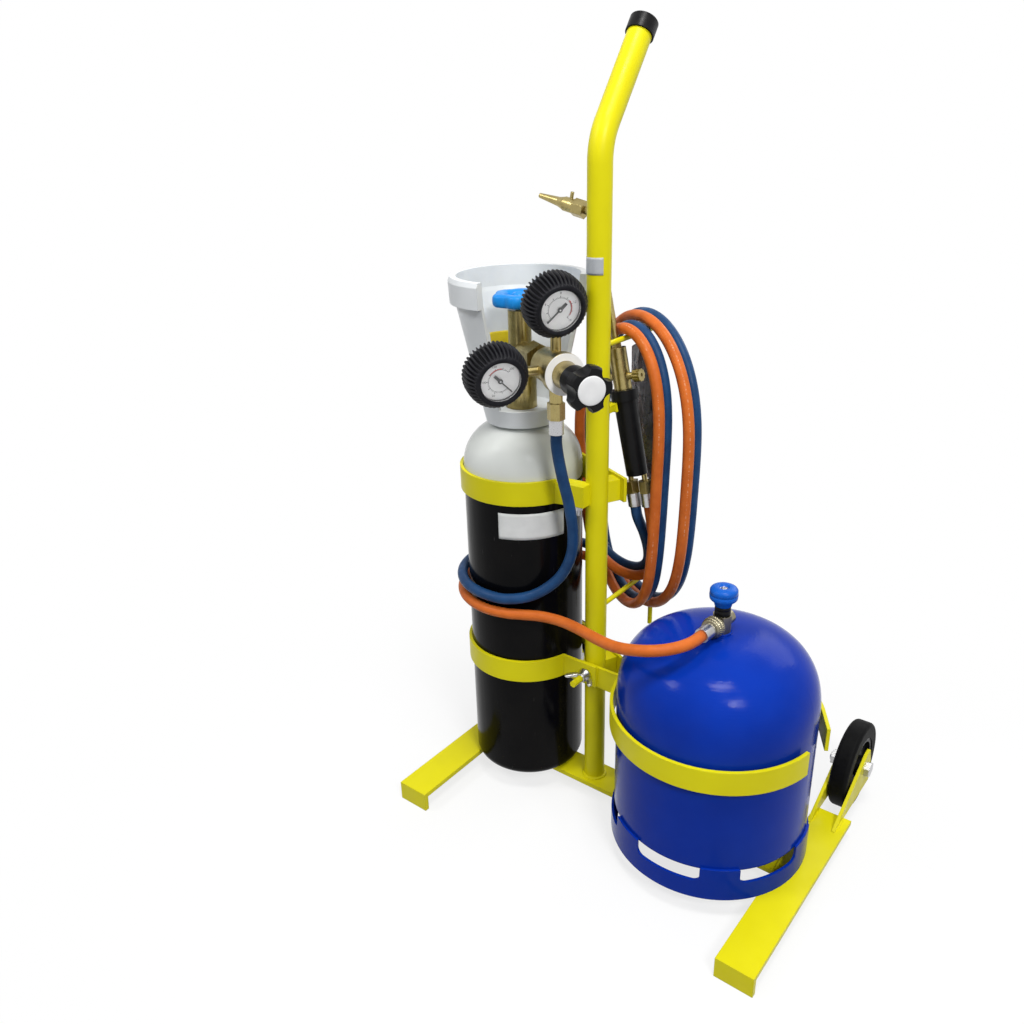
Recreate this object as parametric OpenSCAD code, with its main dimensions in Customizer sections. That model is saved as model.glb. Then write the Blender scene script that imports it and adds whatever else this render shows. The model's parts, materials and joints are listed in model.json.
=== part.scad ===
// Two-cylinder gas torch cart: welded flat-bar frame on two wheels, oxygen cylinder with regulator,
// fuel gas cylinder, twin hose wound on two rod hooks, and a hand torch hanging behind the mast.
// Millimetres, +Z up. The origin is on the floor at the middle of the cart's footprint.

/* [Base frame] */
// Distance between the centre lines of the two runners
runner_span = 441; // [430:1:460]
// Width of the flat bar
bar_w = 42; // [38:1:46]
// Thickness of the flat bar
bar_t = 6; // [4:0.5:8]
// Height of the deck above the floor
deck_h = 25; // [22:1:32]
// Depth from the front feet to the back of the wheels
base_depth = 391; // [388:1:400]
// Length of a runner
runner_len = 270; // [264:1:280]

/* [Mast] */
// Outside diameter of the mast tube
mast_d = 25.4; // [22:0.1:26]
// Wall of the mast tube
mast_wall = 2; // [1.5:0.1:3]
// Mast offset from the middle of the base towards the oxygen cylinder
mast_offset = 52.5; // [45:0.5:60]
// Mast distance from the front feet
mast_setback = 163; // [155:1:170]
// Height of the corner where the handle leans back
bend_h = 780; // [760:1:800]
// Radius of the handle bend
bend_r = 60; // [50:1:80]
// Lean of the handle from upright
handle_lean = 36; // [25:1:45]
// Length from the bend corner to the end of the handle tube
handle_reach = 125; // [100:1:150]

/* [Wheels] */
// Wheel diameter
wheel_d = 110; // [106:1:114]
// Tyre width
tyre_w = 22; // [18:1:23]
// Diameter of the wheel hub under the tyre
hub_d = 74; // [60:1:84]
// Diameter of the axle bolts
axle_d = 10; // [8:0.5:12]
// Wheel centre inboard of the outer edge of its runner
wheel_inset = 25.5; // [24:0.5:28]

/* [Oxygen cylinder] */
// Cylinder diameter
ox_d = 140; // [138:1:141]
// Distance from the mast to the cylinder axis
ox_offset = 104; // [102:1:108]
// Height of the top of the straight wall
ox_wall_top = 432; // [425:1:440]
// Radius of the rounded shoulder
ox_shoulder = 52; // [48:1:54]
// Cylinder wall thickness
ox_wall = 5; // [4:0.5:7]
// Height of the guard's top rim
guard_top = 648; // [646:1:650]
// Outside radius of the guard's rim
guard_rim_r = 77; // [76:0.5:78]
// Half angle of the guard's front opening
guard_gap = 54; // [44:1:60]

/* [Regulator] */
// Height of the regulator axis
reg_h = 566; // [563:1:569]
// Direction of the regulator axis in plan
reg_turn = -32; // [-36:1:-28]
// Gauge case diameter
gauge_d = 50; // [48:1:52]
// Gauge rubber boot diameter
boot_d = 66.4; // [64:0.4:68]
// Diameter of the adjusting knob
knob_d = 46; // [44:1:47]

/* [Fuel cylinder] */
// Cylinder diameter
fuel_d = 220; // [216:1:221]
// Distance from the mast to the cylinder axis
fuel_offset = 160; // [158:1:162]
// Height where the dome starts
fuel_dome_h = 201; // [200:1:204]
// Rise of the dome
fuel_dome_rise = 90; // [88:1:92]
// Fuel cylinder wall
fuel_wall = 2.5; // [2:0.5:3]
// Height of the foot ring
foot_h = 41; // [39:1:43]

/* [Clamps] */
// Height of the clamp bands
band_h = 28; // [26:1:30]
// Thickness of the clamp bands
band_t = 4; // [3:0.5:4.5]
// Height of the bottom edge of the upper band
upper_band_h = 404; // [402:1:405]
// Height of the bottom edge of the lower strap
lower_band_h = 172; // [168:1:176]

/* [Torch] */
// Height of the top of the torch handle
torch_h = 524; // [523:0.5:525]
// Lean of the torch from upright
torch_lean = 12; // [11:0.5:13]
// Length of the torch handle
torch_handle_len = 98; // [94:1:100]

/* [Hoses] */
// Outside diameter of both hoses
hose_d = 12.5; // [12:0.1:12.8]
// Half width of the first loop of the coils
coil_a0 = 107; // [105:1:109]
// Half width of the second loop of the coils
coil_a1 = 74; // [73:1:76]
// Half height of the last loop
coil_b = 171; // [170:1:173]
// Growth of the half height for each loop back
coil_grow = 8; // [7:0.5:8]
// Advance of a coil for each loop
coil_pitch = 32; // [31:0.5:33]

/* [Hidden] */
$fn = 64;
eps = 0.01;
// Lap and step where a straight piece leaves a bend of the same section (mm)
joint_lap = 1;
joint_step = 0.05;
// Clearance of parts that turn on each other, and of parts that are only put together
turn_play = 0.06;
fit_play = 0.05;

// Colours
yellow = [0.87, 0.84, 0.12];
brass = [0.66, 0.55, 0.30];
steel = [0.75, 0.76, 0.78];
black = [0.06, 0.06, 0.07];
white = [0.90, 0.91, 0.91];
navy = [0.05, 0.13, 0.62];
sky = [0.10, 0.45, 0.85];
grey = [0.20, 0.20, 0.23];
clear = [0.85, 0.90, 0.95, 0.40];
hose_blue = [0.12, 0.26, 0.48];
hose_orange = [0.85, 0.42, 0.16];

// Mast and base
mast_x = -mast_offset;
mast_y = -base_depth / 2 + mast_setback;
mast_r = mast_d / 2;
runner_x = runner_span / 2;
runner_front = -base_depth / 2;
runner_back = runner_front + runner_len;
bend_tangent = bend_r * tan(handle_lean / 2);
cap_wall = 1.8;
cap_grip = 11;
cap_top = 4;

// Wheels
wheel_r = wheel_d / 2;
wheel_x = runner_x + bar_w / 2 - wheel_inset;
wheel_y = base_depth / 2 - wheel_r;
axle_r = axle_d / 2;
bracket_t = 4;
bracket_gap = tyre_w + 3;
axle_half = bracket_gap / 2 + bracket_t;
axle_hex = 17;
head_h = 6;
nut_h = 8;
tread_round = 5;

// Oxygen cylinder, guard and valve, measured from the cylinder axis
ox_r = ox_d / 2;
ox_fillet = 12;
ox_base_t = 8;
ox_top = ox_wall_top + ox_shoulder;
neck_r = 18;
neck_top = ox_top + 5;
neck_bore = 12.5;
guard_base = ox_top + 0.3;
guard_base_r = 41;
guard_flange = 15;
guard_wall = 4.5;
rim_h = 28;
rim_bottom = guard_top - rim_h;
rim_step = 6;
guard_neck_r = 70;
valve_foot_h = 49;
valve_foot_r = 17.8;
valve_r = 13;
valve_top = 609;
spindle_r = 4;
wheel_lobe = 9;
handwheel_r = 31;
handwheel_h = 15;

// Regulator stations along its axis, measured from the cylinder axis
outlet_r = 10;
outlet_end = 50;
nut_start = 42;
nut_end = 62;
stem_r = 6.8;
stem_start = 50.5;
body_start = 80;
body_end = 118;
body_r = 18;
flange_r = 21.5;
flange_end = 128.6;
bonnet_end = 148;
bonnet_r = 14.2;
bonnet_tip_r = 12.6;
ring_t = 1.2;
cavity_r = 18;
cavity_end = 123;
spring_r = 10;
spring_bore = 7;
spring_end = 138;
screw_r = 5;
screw_start = 139;
knob_start = 150;
knob_end = 194;
knob_lobes = 5;
knob_hub_r = 15;
knob_valley = 16;
knob_flute_r = 9;
knob_turn = 21;
knob_flare = 12;
knob_hub_h = 20;

// Gauges: places beside and above the regulator axis, pitch about their middle, stations along their axes
contents_gauge = [-61.6, -1];
outlet_gauge = [3.2, 63.7];
gauge_pitch = 11.5;
gauge_mid = 94;
gauge_r = gauge_d / 2;
boot_r = boot_d / 2;
boot_start = 82;
boot_end = 114.5;
boot_rib_end = 106;
boot_depth = 5;
boot_ribs = 36;
case_start = 84;
case_end = 113;
case_wall = 4;
dial_start = 107.5;
dial_end = 108.7;
lens_start = 111.6;
gauge_stem_r = 5.5;
gauge_stem_at = 97.5;
pin_r = 0.8;
pin_end = 111.2;
needle_start = 109.6;
needle_t = 1;
zero_turn = 135;

// Outlet and hose ends
outlet_at = 105;
outlet_bottom = 513;
ferrule_len = 16;
ferrule_r = 8;

// Clamps round the oxygen cylinder
band_in = ox_r + 0.4;
band_out = band_in + band_t;
band_back = 64;
band_tail = 110;
weld_gap = band_in - ox_offset * cos(band_back);
weld_w = 18;
block_h = band_h - 3;
stud_r = 4;
stud_end = 48;
tab_end = 14;
strap_end = 15;
tab_start = band_in * cos(strap_end) + joint_lap - ox_offset;

// Fuel cylinder and its open ring
fuel_r = fuel_d / 2;
fuel_bottom = deck_h + 22;
fuel_knuckle = deck_h + 40;
fuel_top = fuel_dome_h + fuel_dome_rise;
dome_square = 2.8;
dome_parts = 32;
boss_r = 12;
boss_h = 2;
foot_in = fuel_r + 0.2;
foot_out = foot_in + 3;
foot_slot_w = 74;
foot_slot_r = 8;
foot_slot_h = deck_h + 23.5;
ring_in = fuel_r + 3.5;
ring_out = ring_in + band_t;
ring_h = lower_band_h - 2;
ring_from = 30;
ring_to = 350;
ring_tail = 34;
fuel_turn = 265;
fuel_out_h = fuel_top + 13;
fuel_nut_start = 11;
fuel_nut_end = 24;
fuel_knob_h = fuel_top + 35.5;
fuel_body_r = 10;
fuel_body_h = 20;
fuel_bonnet_r = 6.5;
fuel_plug_r = 8;
fuel_spindle_r = 3.5;
fuel_knob_r = 15.5;

// Torch, along its own leaning axis
torch_x = 3.5;
torch_y = 46;
torch_body_h = 46;
torch_collar_h = 51;
torch_tube_r = 4;
torch_bend = 65;
torch_bend_r = 20;
torch_bend_h = 175;
torch_nut_gap = 9;
torch_nut_len = 22;
torch_valve_h = 14;
torch_spindle_r = 2;
torch_knob_start = 17;
torch_ferrule = torch_handle_len + torch_nut_len;
cradle_r = 13.9;
cradle_t = 3.5;
cradle_h = 10;
cradle_at = 22;

// Rod hooks and the coils that hang on them
hook_r = 3;
hook_bend = 9;
upper_hook_h = 579;
upper_hook_end = 116;
lower_hook_h = 265;
lower_hook_end = 130;
hose_r = hose_d / 2;
hose_lane = coil_pitch / 2;
coil_x = -5;
coil_h = 418.7;
coil_y = 57;
coil_tilt = -3.7;
coil_yaw = 30;
coil_square = 6;
coil_from = 270;
coil_to = 855;
coil_step = 15;
wrap_r = ox_r + hose_r + 2.2;
wrap_from = -70;
wrap_to = -220;
wrap_parts = 8;
lead_sides = 10;
coil_sides = 6;

// Pouch between two strands of the coils
pouch_y = 94.5;
pouch_yaw = 27.3;
pouch_half = 20;
pouch_tab = 12;
pouch_t = 7;
pouch_low = 408;
pouch_full = 104;
pouch_high = 548;
pouch_head = 592;

// Helpers for places
module at_mast() translate([mast_x, mast_y, 0]) children();
module at_ox() at_mast() translate([-ox_offset, 0, 0]) children();
module at_fuel() at_mast() translate([fuel_offset, 0, 0]) children();
module at_reg(t = 0, y = 0, z = 0) at_ox() rotate(reg_turn) translate([t, y, reg_h + z]) children();
module at_torch(z = 0, x = 0) at_mast() translate([torch_x, torch_y, torch_h])
    rotate([0, -torch_lean, 0]) translate([x, 0, z]) children();
module sided(s) mirror([s < 0 ? 1 : 0, 0, 0]) children();
module rod_x(r, a, b) translate([a, 0, 0]) rotate([0, 90, 0]) cylinder(h = b - a, r = r);
module hex_x(af, a, b) translate([a, 0, 0]) rotate([0, 90, 0]) cylinder(h = b - a, d = af / cos(30), $fn = 6);

// A ring sector between two radii, from angle a to angle b
module sector(r_in, r_out, h, a, b) rotate(a) rotate_extrude(angle = b - a) translate([r_in, 0])
    square([r_out - r_in, h]);

// A profile that bulges into rounded lobes
module lobed(r, lobe_r, count) {
    circle(r = r - lobe_r * 0.6);
    for (i = [0:count - 1]) rotate(i * 360 / count) translate([r - lobe_r, 0]) circle(r = lobe_r);
}

// Points of an elliptic arc
function arc(c, rx, ry, a, b, n) = [for (i = [0:n]) let (t = a + (b - a) * i / n)
    [c[0] + rx * cos(t), c[1] + ry * sin(t)]];

// Flat base bars
module cross_beam() color(yellow) translate([-runner_x + bar_w / 2, mast_y - bar_w / 2, deck_h - bar_t])
    cube([runner_span - bar_w, bar_w, bar_t]);

module runner() {
    translate([-bar_w / 2, runner_front, deck_h - bar_t])
        cube([bar_w, runner_len, bar_t]);
    translate([-bar_w / 2, runner_front, 0])
        cube([bar_w, bar_t, deck_h - bar_t + eps]);
}

module left_runner() color(yellow) translate([-runner_x, 0, 0]) runner();
module right_runner() color(yellow) translate([runner_x, 0, 0]) runner();

// Mast tube with the handle leaning back
module mast_bar(r, extra) {
    corner = bend_h - bend_tangent;
    translate([0, 0, deck_h - extra])
        cylinder(h = corner - deck_h + extra, r = r);
    translate([0, bend_r, corner])
        rotate([0, -90, 0]) rotate(-90)
            rotate_extrude(angle = handle_lean) translate([bend_r, 0]) circle(r = r);
    translate([0, bend_r * (1 - cos(handle_lean)), corner + bend_r * sin(handle_lean)])
        rotate([-handle_lean, 0, 0]) translate([0, 0, -joint_lap])
            cylinder(h = handle_reach - bend_tangent + extra + joint_lap, r = r - joint_step);
}

module mast() color(yellow) at_mast() difference() {
    mast_bar(mast_r, 0);
    mast_bar(mast_r - mast_wall, 1);
}

module handle_cap() color(black) at_mast()
    translate([0, handle_reach * sin(handle_lean), bend_h + handle_reach * cos(handle_lean)])
        rotate([-handle_lean, 0, 0]) difference() {
            translate([0, 0, -cap_grip])
                cylinder(h = cap_grip + cap_top, r = mast_r + cap_wall);
            translate([0, 0, -cap_grip - 1])
                cylinder(h = cap_grip + 1, r = mast_r + fit_play);
        }

// Bands round the oxygen cylinder, each with a straight tail that passes behind the mast
module ox_band(front) translate([-ox_offset, 0, 0]) {
    sector(band_in, band_out, band_h, band_back, 360 - front);
    rotate(band_back - 90) translate([-joint_lap, band_in + joint_step, 0])
        cube([band_tail + joint_lap, band_t - 2 * joint_step, band_h]);
}

module upper_clamp_band() color(yellow) at_mast() translate([0, 0, upper_band_h]) ox_band(22);

module weld_block(z) translate([0, 0, z]) difference() {
    rotate(band_back) translate([0, -weld_w / 2, 0])
        cube([weld_gap, weld_w, block_h]);
    translate([0, 0, -1])
        cylinder(h = band_h, r = mast_r);
}

module clamp_blocks() color(yellow) at_mast() {
    weld_block(upper_band_h);
    weld_block(lower_band_h);
    translate([0, 0, upper_band_h]) difference() {
        linear_extrude(block_h) polygon([[-42, -33], [-20, -27], [-1, -26], [-1, -8], [-31, -11]]);
        translate([0, 0, -1])
            cylinder(h = band_h, r = mast_r);
        translate([-ox_offset, 0, -1])
            cylinder(h = band_h, r = band_out);
    }
}

module clamp_bolt() color(steel) at_mast() translate([-12, -20, upper_band_h]) {
    translate([0, 0, -5])
        cylinder(h = 5, d = 13, $fn = 6);
    translate([0, 0, -12])
        cylinder(h = 8, r = 3);
}

module stud_place(y) translate([0, y, band_h / 2]) rotate([90, 0, 0]) children();

module lower_clamp_strap() color(yellow) at_mast() translate([0, 0, lower_band_h]) difference() {
    union() {
        ox_band(strap_end);
        translate([tab_start, -mast_r - 2 * band_t, joint_step])
            cube([tab_end - tab_start, band_t, band_h - 2 * joint_step]);
    }
    stud_place(-mast_r) cylinder(h = 3 * band_t, r = stud_r + 0.5);
}

// Open ring that the fuel cylinder stands in, its tab on the mast and the clamp stud
module fuel_ring() color(yellow) at_mast() {
    translate([fuel_offset, 0, ring_h]) sector(ring_in, ring_out, band_h, ring_from, ring_to);
    translate([fuel_offset, 0, ring_h]) rotate(ring_from) translate([ring_in + joint_step, -ring_tail, 0])
        cube([band_t - 2 * joint_step, ring_tail + joint_lap, band_h]);
    translate([-mast_r, -mast_r - band_t, ring_h])
        cube([fuel_offset - ring_in + mast_r, band_t, band_h]);
    translate([0, 0, lower_band_h]) stud_place(-mast_r - band_t + eps)
        cylinder(h = stud_end - mast_r - band_t, r = stud_r);
}

module wing_nut() color(steel) at_mast() translate([0, 0, lower_band_h])
    stud_place(-mast_r - 2 * band_t - 0.4) difference() {
        union() {
            cylinder(h = 12, r = 8);
            for (a = [0, 180]) rotate(a) translate([6, -1.6, 4])
                cube([13, 3.2, 15]);
        }
        translate([0, 0, -1])
            cylinder(h = 30, r = stud_r + turn_play);
    }

// Rod hooks for the hoses: the upper end turns up, the lower end turns down
module hook(end, tip) {
    rotate([-90, 0, 0]) cylinder(h = end - hook_bend, r = hook_r);
    translate([0, end - hook_bend, hook_bend])
        rotate([0, 90, 0]) rotate_extrude(angle = 90) translate([hook_bend, 0]) circle(r = hook_r);
    translate([0, end, hook_bend])
        cylinder(h = tip, r = hook_r);
}

module hose_hooks() color(yellow) at_mast() difference() {
    union() {
        translate([0, 0, upper_hook_h]) hook(upper_hook_end, 3);
        translate([0, 0, lower_hook_h]) mirror([0, 0, 1]) hook(lower_hook_end, 71);
    }
    translate([0, 0, deck_h])
        cylinder(h = bend_h - deck_h - bend_tangent, r = mast_r);
}

// Saddle that holds the torch handle, on a stub behind the mast
module torch_cradle() color(yellow) difference() {
    union() {
        at_torch(-cradle_at) sector(cradle_r, cradle_r + cradle_t, cradle_h, 95, 262);
        at_mast() translate([-4, 0, torch_h - cradle_at + 1])
            cube([8, torch_y - cradle_r, cradle_h - 2]);
    }
    at_mast() translate([0, 0, deck_h]) cylinder(h = bend_h - deck_h - bend_tangent, r = mast_r);
    at_torch(-cradle_at - 10) cylinder(h = cradle_h + 20, r = cradle_r);
}

// Wheel brackets: two upright plates on the back of each runner
module bracket_plate() {
    base = runner_back - 31;
    rotate([90, 0, 90]) linear_extrude(bracket_t) difference() {
        polygon([
            [base, deck_h],
            [wheel_y + 20, deck_h],
            [wheel_y + 24, deck_h + 14],
            [wheel_y + 11, wheel_r + 21],
            [wheel_y + 1, wheel_r + 21]
        ]);
        translate([wheel_y, wheel_r]) circle(r = axle_r + 0.2);
    }
}

module wheel_bracket(x) color(yellow) for (s = [-1, 1])
    translate([x + s * (bracket_gap + bracket_t) / 2 - bracket_t / 2, 0, 0]) bracket_plate();

module left_wheel_bracket() wheel_bracket(-wheel_x);
module right_wheel_bracket() wheel_bracket(wheel_x);

module at_wheels() for (s = [-1, 1]) sided(s) translate([wheel_x, wheel_y, wheel_r]) children();

module axle_bolts() color(steel) at_wheels() {
    rod_x(axle_r, -axle_half - nut_h - 2, axle_half + eps);
    hex_x(axle_hex, axle_half, axle_half + head_h);
}

module axle_nuts() color(steel) at_wheels() difference() {
    hex_x(axle_hex, -axle_half - nut_h, -axle_half);
    rod_x(axle_r + fit_play, -axle_half - nut_h - 1, -axle_half + 1);
}

// Wheels: a plastic hub with a rubber tyre pressed on
module wheel_hub(x) color(black) translate([x, wheel_y, wheel_r]) rotate([0, 90, 0]) rotate_extrude() {
    half = tyre_w / 2;
    translate([axle_r + turn_play, -half - 1])
        square([8, tyre_w + 2]);
    translate([axle_r + 7, -4])
        square([hub_d / 2 - axle_r - 7, 8]);
    translate([hub_d / 2 - 5, -half + 1])
        square([5, tyre_w - 2]);
}

module wheel_tyre(x) color(black) translate([x, wheel_y, wheel_r]) rotate([0, 90, 0]) rotate_extrude() {
    half = tyre_w / 2;
    translate([hub_d / 2, -half])
        square([wheel_r - hub_d / 2 - tread_round, tyre_w]);
    translate([wheel_r - tread_round - eps, -half + tread_round])
        square([tread_round + eps, tyre_w - 2 * tread_round]);
    for (s = [-1, 1]) translate([wheel_r - tread_round, s * (half - tread_round)])
        circle(r = tread_round);
}

module left_wheel_hub() wheel_hub(-wheel_x);
module left_wheel_tyre() wheel_tyre(-wheel_x);
module right_wheel_hub() wheel_hub(wheel_x);
module right_wheel_tyre() wheel_tyre(wheel_x);

// Oxygen cylinder: hollow, with a rounded foot, a domed shoulder and a neck
module bottle(r, bottom, fillet, shoulder) {
    translate([0, bottom])
        square([r - fillet, fillet + eps]);
    translate([0, bottom + fillet])
        square([r, ox_wall_top - bottom - fillet]);
    translate([0, ox_wall_top - eps])
        square([r - shoulder, shoulder + eps]);
    intersection() {
        union() {
            translate([r - fillet, bottom + fillet]) circle(r = fillet);
            translate([r - shoulder, ox_wall_top]) circle(r = shoulder);
        }
        square([r, ox_top + 1]);
    }
}

module oxygen_cylinder() color(black) at_ox() rotate_extrude() difference() {
    union() {
        bottle(ox_r, deck_h, ox_fillet, ox_shoulder);
        translate([0, ox_top - 1])
            square([neck_r, neck_top - ox_top + 1]);
    }
    bottle(ox_r - ox_wall, deck_h + ox_base_t, ox_fillet, ox_shoulder - ox_wall);
    translate([0, ox_wall_top])
        square([neck_bore, neck_top - ox_wall_top + 1]);
}

// Valve guard: flared collar with a stepped rim, open to the front
module guard_profile() {
    translate([neck_r + 0.2, guard_base])
        square([guard_base_r - neck_r - 0.2, guard_flange]);
    polygon([
        [guard_base_r - guard_wall, guard_base],
        [guard_base_r, guard_base],
        [guard_neck_r, rim_bottom],
        [guard_neck_r + rim_step, rim_bottom],
        [guard_rim_r, guard_top - 5],
        [guard_rim_r - 2, guard_top],
        [guard_rim_r - 9, guard_top],
        [guard_neck_r + rim_step - 9, rim_bottom + 5],
        [guard_neck_r - guard_wall, rim_bottom]
    ]);
}

module wedge(half, h) linear_extrude(h) polygon([[0, 0], [120, -120 * tan(half)], [120, 120 * tan(half)]]);

module valve_guard() color(white) at_ox() difference() {
    rotate_extrude() guard_profile();
    rotate(reg_turn) translate([0, 0, guard_base + guard_flange + 5]) wedge(guard_gap, guard_top);
}

module oxygen_valve() color(brass) {
    at_ox() translate([0, 0, neck_top - 20]) cylinder(h = 20 + eps, r = neck_bore - 0.2);
    at_ox() translate([0, 0, neck_top]) cylinder(h = valve_foot_h, r = valve_foot_r);
    at_ox() translate([0, 0, neck_top + valve_foot_h - eps])
        cylinder(h = valve_top - neck_top - valve_foot_h + eps, r = valve_r);
    at_ox() translate([0, 0, valve_top - eps]) cylinder(h = handwheel_h + 2, r = spindle_r);
    at_reg() rod_x(outlet_r, 0, outlet_end);
    at_reg() rod_x(7, -22, 0);
}

module oxygen_handwheel() color(sky) at_ox() translate([0, 0, valve_top + 4]) difference() {
    linear_extrude(handwheel_h) lobed(handwheel_r, wheel_lobe, 6);
    translate([0, 0, -1])
        cylinder(h = handwheel_h + 2, r = spindle_r + turn_play);
}

// Regulator, from the cylinder valve outwards
module inlet_nut() color(brass) at_reg() difference() {
    hex_x(30, nut_start, nut_end);
    rod_x(outlet_r + fit_play, nut_start - 1, outlet_end + fit_play);
    rod_x(stem_r + fit_play, outlet_end, nut_end + 1);
}

module regulator_body() color(brass) at_reg() {
    rod_x(stem_r, stem_start, body_start + eps);
    rod_x(body_r, body_start, body_end);
}

module regulator_bonnet() color(brass) at_reg() difference() {
    union() {
        rod_x(flange_r, body_end, flange_end);
        translate([flange_end - eps, 0, 0]) rotate([0, 90, 0])
            cylinder(h = bonnet_end - flange_end + eps, r1 = bonnet_r, r2 = bonnet_tip_r);
    }
    rod_x(cavity_r, body_end - 1, cavity_end);
    rod_x(spring_r + 0.5, cavity_end - 1, spring_end + 0.5);
    rod_x(screw_r + turn_play, spring_end, bonnet_end + 1);
}

module bonnet_ring() color(white) at_reg() difference() {
    rod_x(flange_r - 0.2, flange_end, flange_end + ring_t);
    rod_x(bonnet_r + 0.1, flange_end - 1, flange_end + 3);
}

module regulator_diaphragm() color(black) at_reg() rod_x(cavity_r - 0.5, body_end, body_end + 1.2);

module control_spring() color(steel) at_reg() difference() {
    rod_x(spring_r, body_end + 1.4, spring_end);
    rod_x(spring_bore, body_end, spring_end + 1);
}

// The knob is a round hub that flares into a lobed grip
module knob_profile() polygon([
    [0, knob_start],
    [knob_hub_r - 1, knob_start],
    [knob_hub_r, knob_start + 1],
    [knob_hub_r, knob_start + knob_hub_h],
    [knob_d / 2, knob_start + knob_hub_h + knob_flare],
    [knob_d / 2, knob_end - 3],
    [knob_d / 2 - 2, knob_end],
    [0, knob_end]
]);

module adjusting_knob() color(black) at_reg() {
    rod_x(screw_r, screw_start, knob_start + eps);
    difference() {
        rotate([0, 90, 0]) rotate_extrude() knob_profile();
        for (i = [0:knob_lobes - 1]) rotate([i * 360 / knob_lobes + knob_turn, 0, 0])
            translate([0, 0, knob_valley + knob_flute_r]) rod_x(knob_flute_r, knob_start - 1, knob_end + 1);
    }
}

// Gauges: stem, case, ribbed rubber boot, dial with the needle pin, lens
module at_gauge(g, t = 0) at_reg(gauge_mid, g[0], g[1]) rotate([0, gauge_pitch, 0])
    translate([t - gauge_mid, 0, 0]) children();
module at_gauges() for (g = [contents_gauge, outlet_gauge]) at_gauge(g) children();

module stem_to(g, r) {
    if (g == contents_gauge) {
        translate([gauge_stem_at, 0, g[1]]) rotate([90, 0, 0]) cylinder(h = -g[0], r = r);
    } else {
        translate([gauge_stem_at, g[0], 0]) cylinder(h = g[1], r = r);
    }
}

module gauge_stems() color(brass) for (g = [contents_gauge, outlet_gauge]) difference() {
    at_reg() stem_to(g, gauge_stem_r);
    at_reg() rod_x(body_r, body_start, body_end);
    at_gauge(g) rod_x(gauge_r, case_start, case_end);
}

module gauge_cases() color(black) at_gauges() difference() {
    rod_x(gauge_r, case_start, case_end);
    rod_x(gauge_r - case_wall, dial_start, case_end + 1);
}

module ribbed(r, depth, count) polygon([for (i = [0:2 * count - 1]) for (e = [-1, 1])
    let (t = (i + 0.5 + 0.42 * e) * 180 / count, q = r - (i % 2) * depth) [q * cos(t), q * sin(t)]]);

module gauge_boots() color(black) for (g = [contents_gauge, outlet_gauge]) difference() {
    at_gauge(g) {
        rod_x(boot_r - boot_depth + 0.2, boot_start, boot_end);
        translate([boot_start + 1, 0, 0]) rotate([90, 0, 90])
            linear_extrude(boot_rib_end - boot_start - 1) ribbed(boot_r, boot_depth, boot_ribs);
    }
    at_gauge(g) rod_x(gauge_r + fit_play, case_start - fit_play, case_end + fit_play);
    at_gauge(g) rod_x(gauge_r - case_wall, boot_start - 1, boot_end + 1);
    at_reg() stem_to(g, gauge_stem_r + 0.2);
}

module gauge_dials() color(white) at_gauges() {
    rod_x(gauge_r - case_wall - 0.1, dial_start, dial_end);
    rod_x(pin_r, dial_end - eps, pin_end);
}

module gauge_lenses() color(clear) at_gauges() rod_x(gauge_r - case_wall - 0.1, lens_start, case_end);

module needle(g, turn) color(black) at_gauge(g, needle_start) rotate([turn, 0, 0]) difference() {
    union() {
        rod_x(2.6, 0, needle_t);
        translate([0, -0.6, 0])
            cube([needle_t, 1.2, 18]);
        translate([0, -1.5, -9])
            cube([needle_t, 3, 9]);
    }
    rod_x(pin_r + turn_play, -1, needle_t + 1);
}

module contents_needle() needle(contents_gauge, zero_turn + 90);
module outlet_needle() needle(outlet_gauge, zero_turn);

module outlet_connector() color(brass) difference() {
    union() {
        at_reg(outlet_at) translate([0, 0, outlet_bottom - reg_h + 18])
            cylinder(h = reg_h - outlet_bottom - 18, r = 7);
        at_reg(outlet_at) translate([0, 0, outlet_bottom - reg_h])
            cylinder(h = 18 + eps, d = 19, $fn = 6);
    }
    at_reg() rod_x(body_r, body_start, body_end);
}

// Places of the hose ends, relative to the mast
function reg_point(t, z) = [t * cos(reg_turn) - ox_offset, t * sin(reg_turn), z];
function fuel_point(r, z) = [fuel_offset + r * cos(fuel_turn), r * sin(fuel_turn), z];
function torch_point(x, z) = [
    torch_x + x * cos(torch_lean) - z * sin(torch_lean),
    torch_y,
    torch_h + x * sin(torch_lean) + z * cos(torch_lean)
];

module hose_ferrules() color(steel) {
    at_mast() translate(reg_point(outlet_at, outlet_bottom - ferrule_len))
        cylinder(h = ferrule_len, r = ferrule_r);
    at_fuel() translate([0, 0, fuel_out_h]) rotate(fuel_turn)
        rod_x(ferrule_r, fuel_nut_end, fuel_nut_end + ferrule_len);
    for (s = [-1, 1]) at_torch(-torch_ferrule - ferrule_len, s * torch_nut_gap)
        cylinder(h = ferrule_len, r = ferrule_r);
}

// Fuel cylinder: hollow dished shell, slotted foot ring and valve
function dome(r, rise) = [for (i = [0:dome_parts]) let (t = 86 * i / dome_parts)
    [r * pow(cos(t), 2 / dome_square), fuel_dome_h + rise * pow(sin(t), 2 / dome_square)]];

module dished(wall) polygon(concat(
    [[0, fuel_bottom + wall]],
    arc([0, fuel_knuckle], fuel_r - wall, fuel_knuckle - fuel_bottom - wall, -84, 0, 14),
    dome(fuel_r - wall, fuel_dome_rise - wall),
    [[0, fuel_top - wall]]
));

module fuel_cylinder() color(navy) at_fuel() rotate_extrude() difference() {
    union() {
        dished(0);
        translate([0, fuel_top - 4])
            square([boss_r, 4 + boss_h]);
    }
    dished(fuel_wall);
    translate([0, fuel_dome_h])
        square([boss_r - 4, fuel_dome_rise + boss_h + 1]);
}

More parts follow.
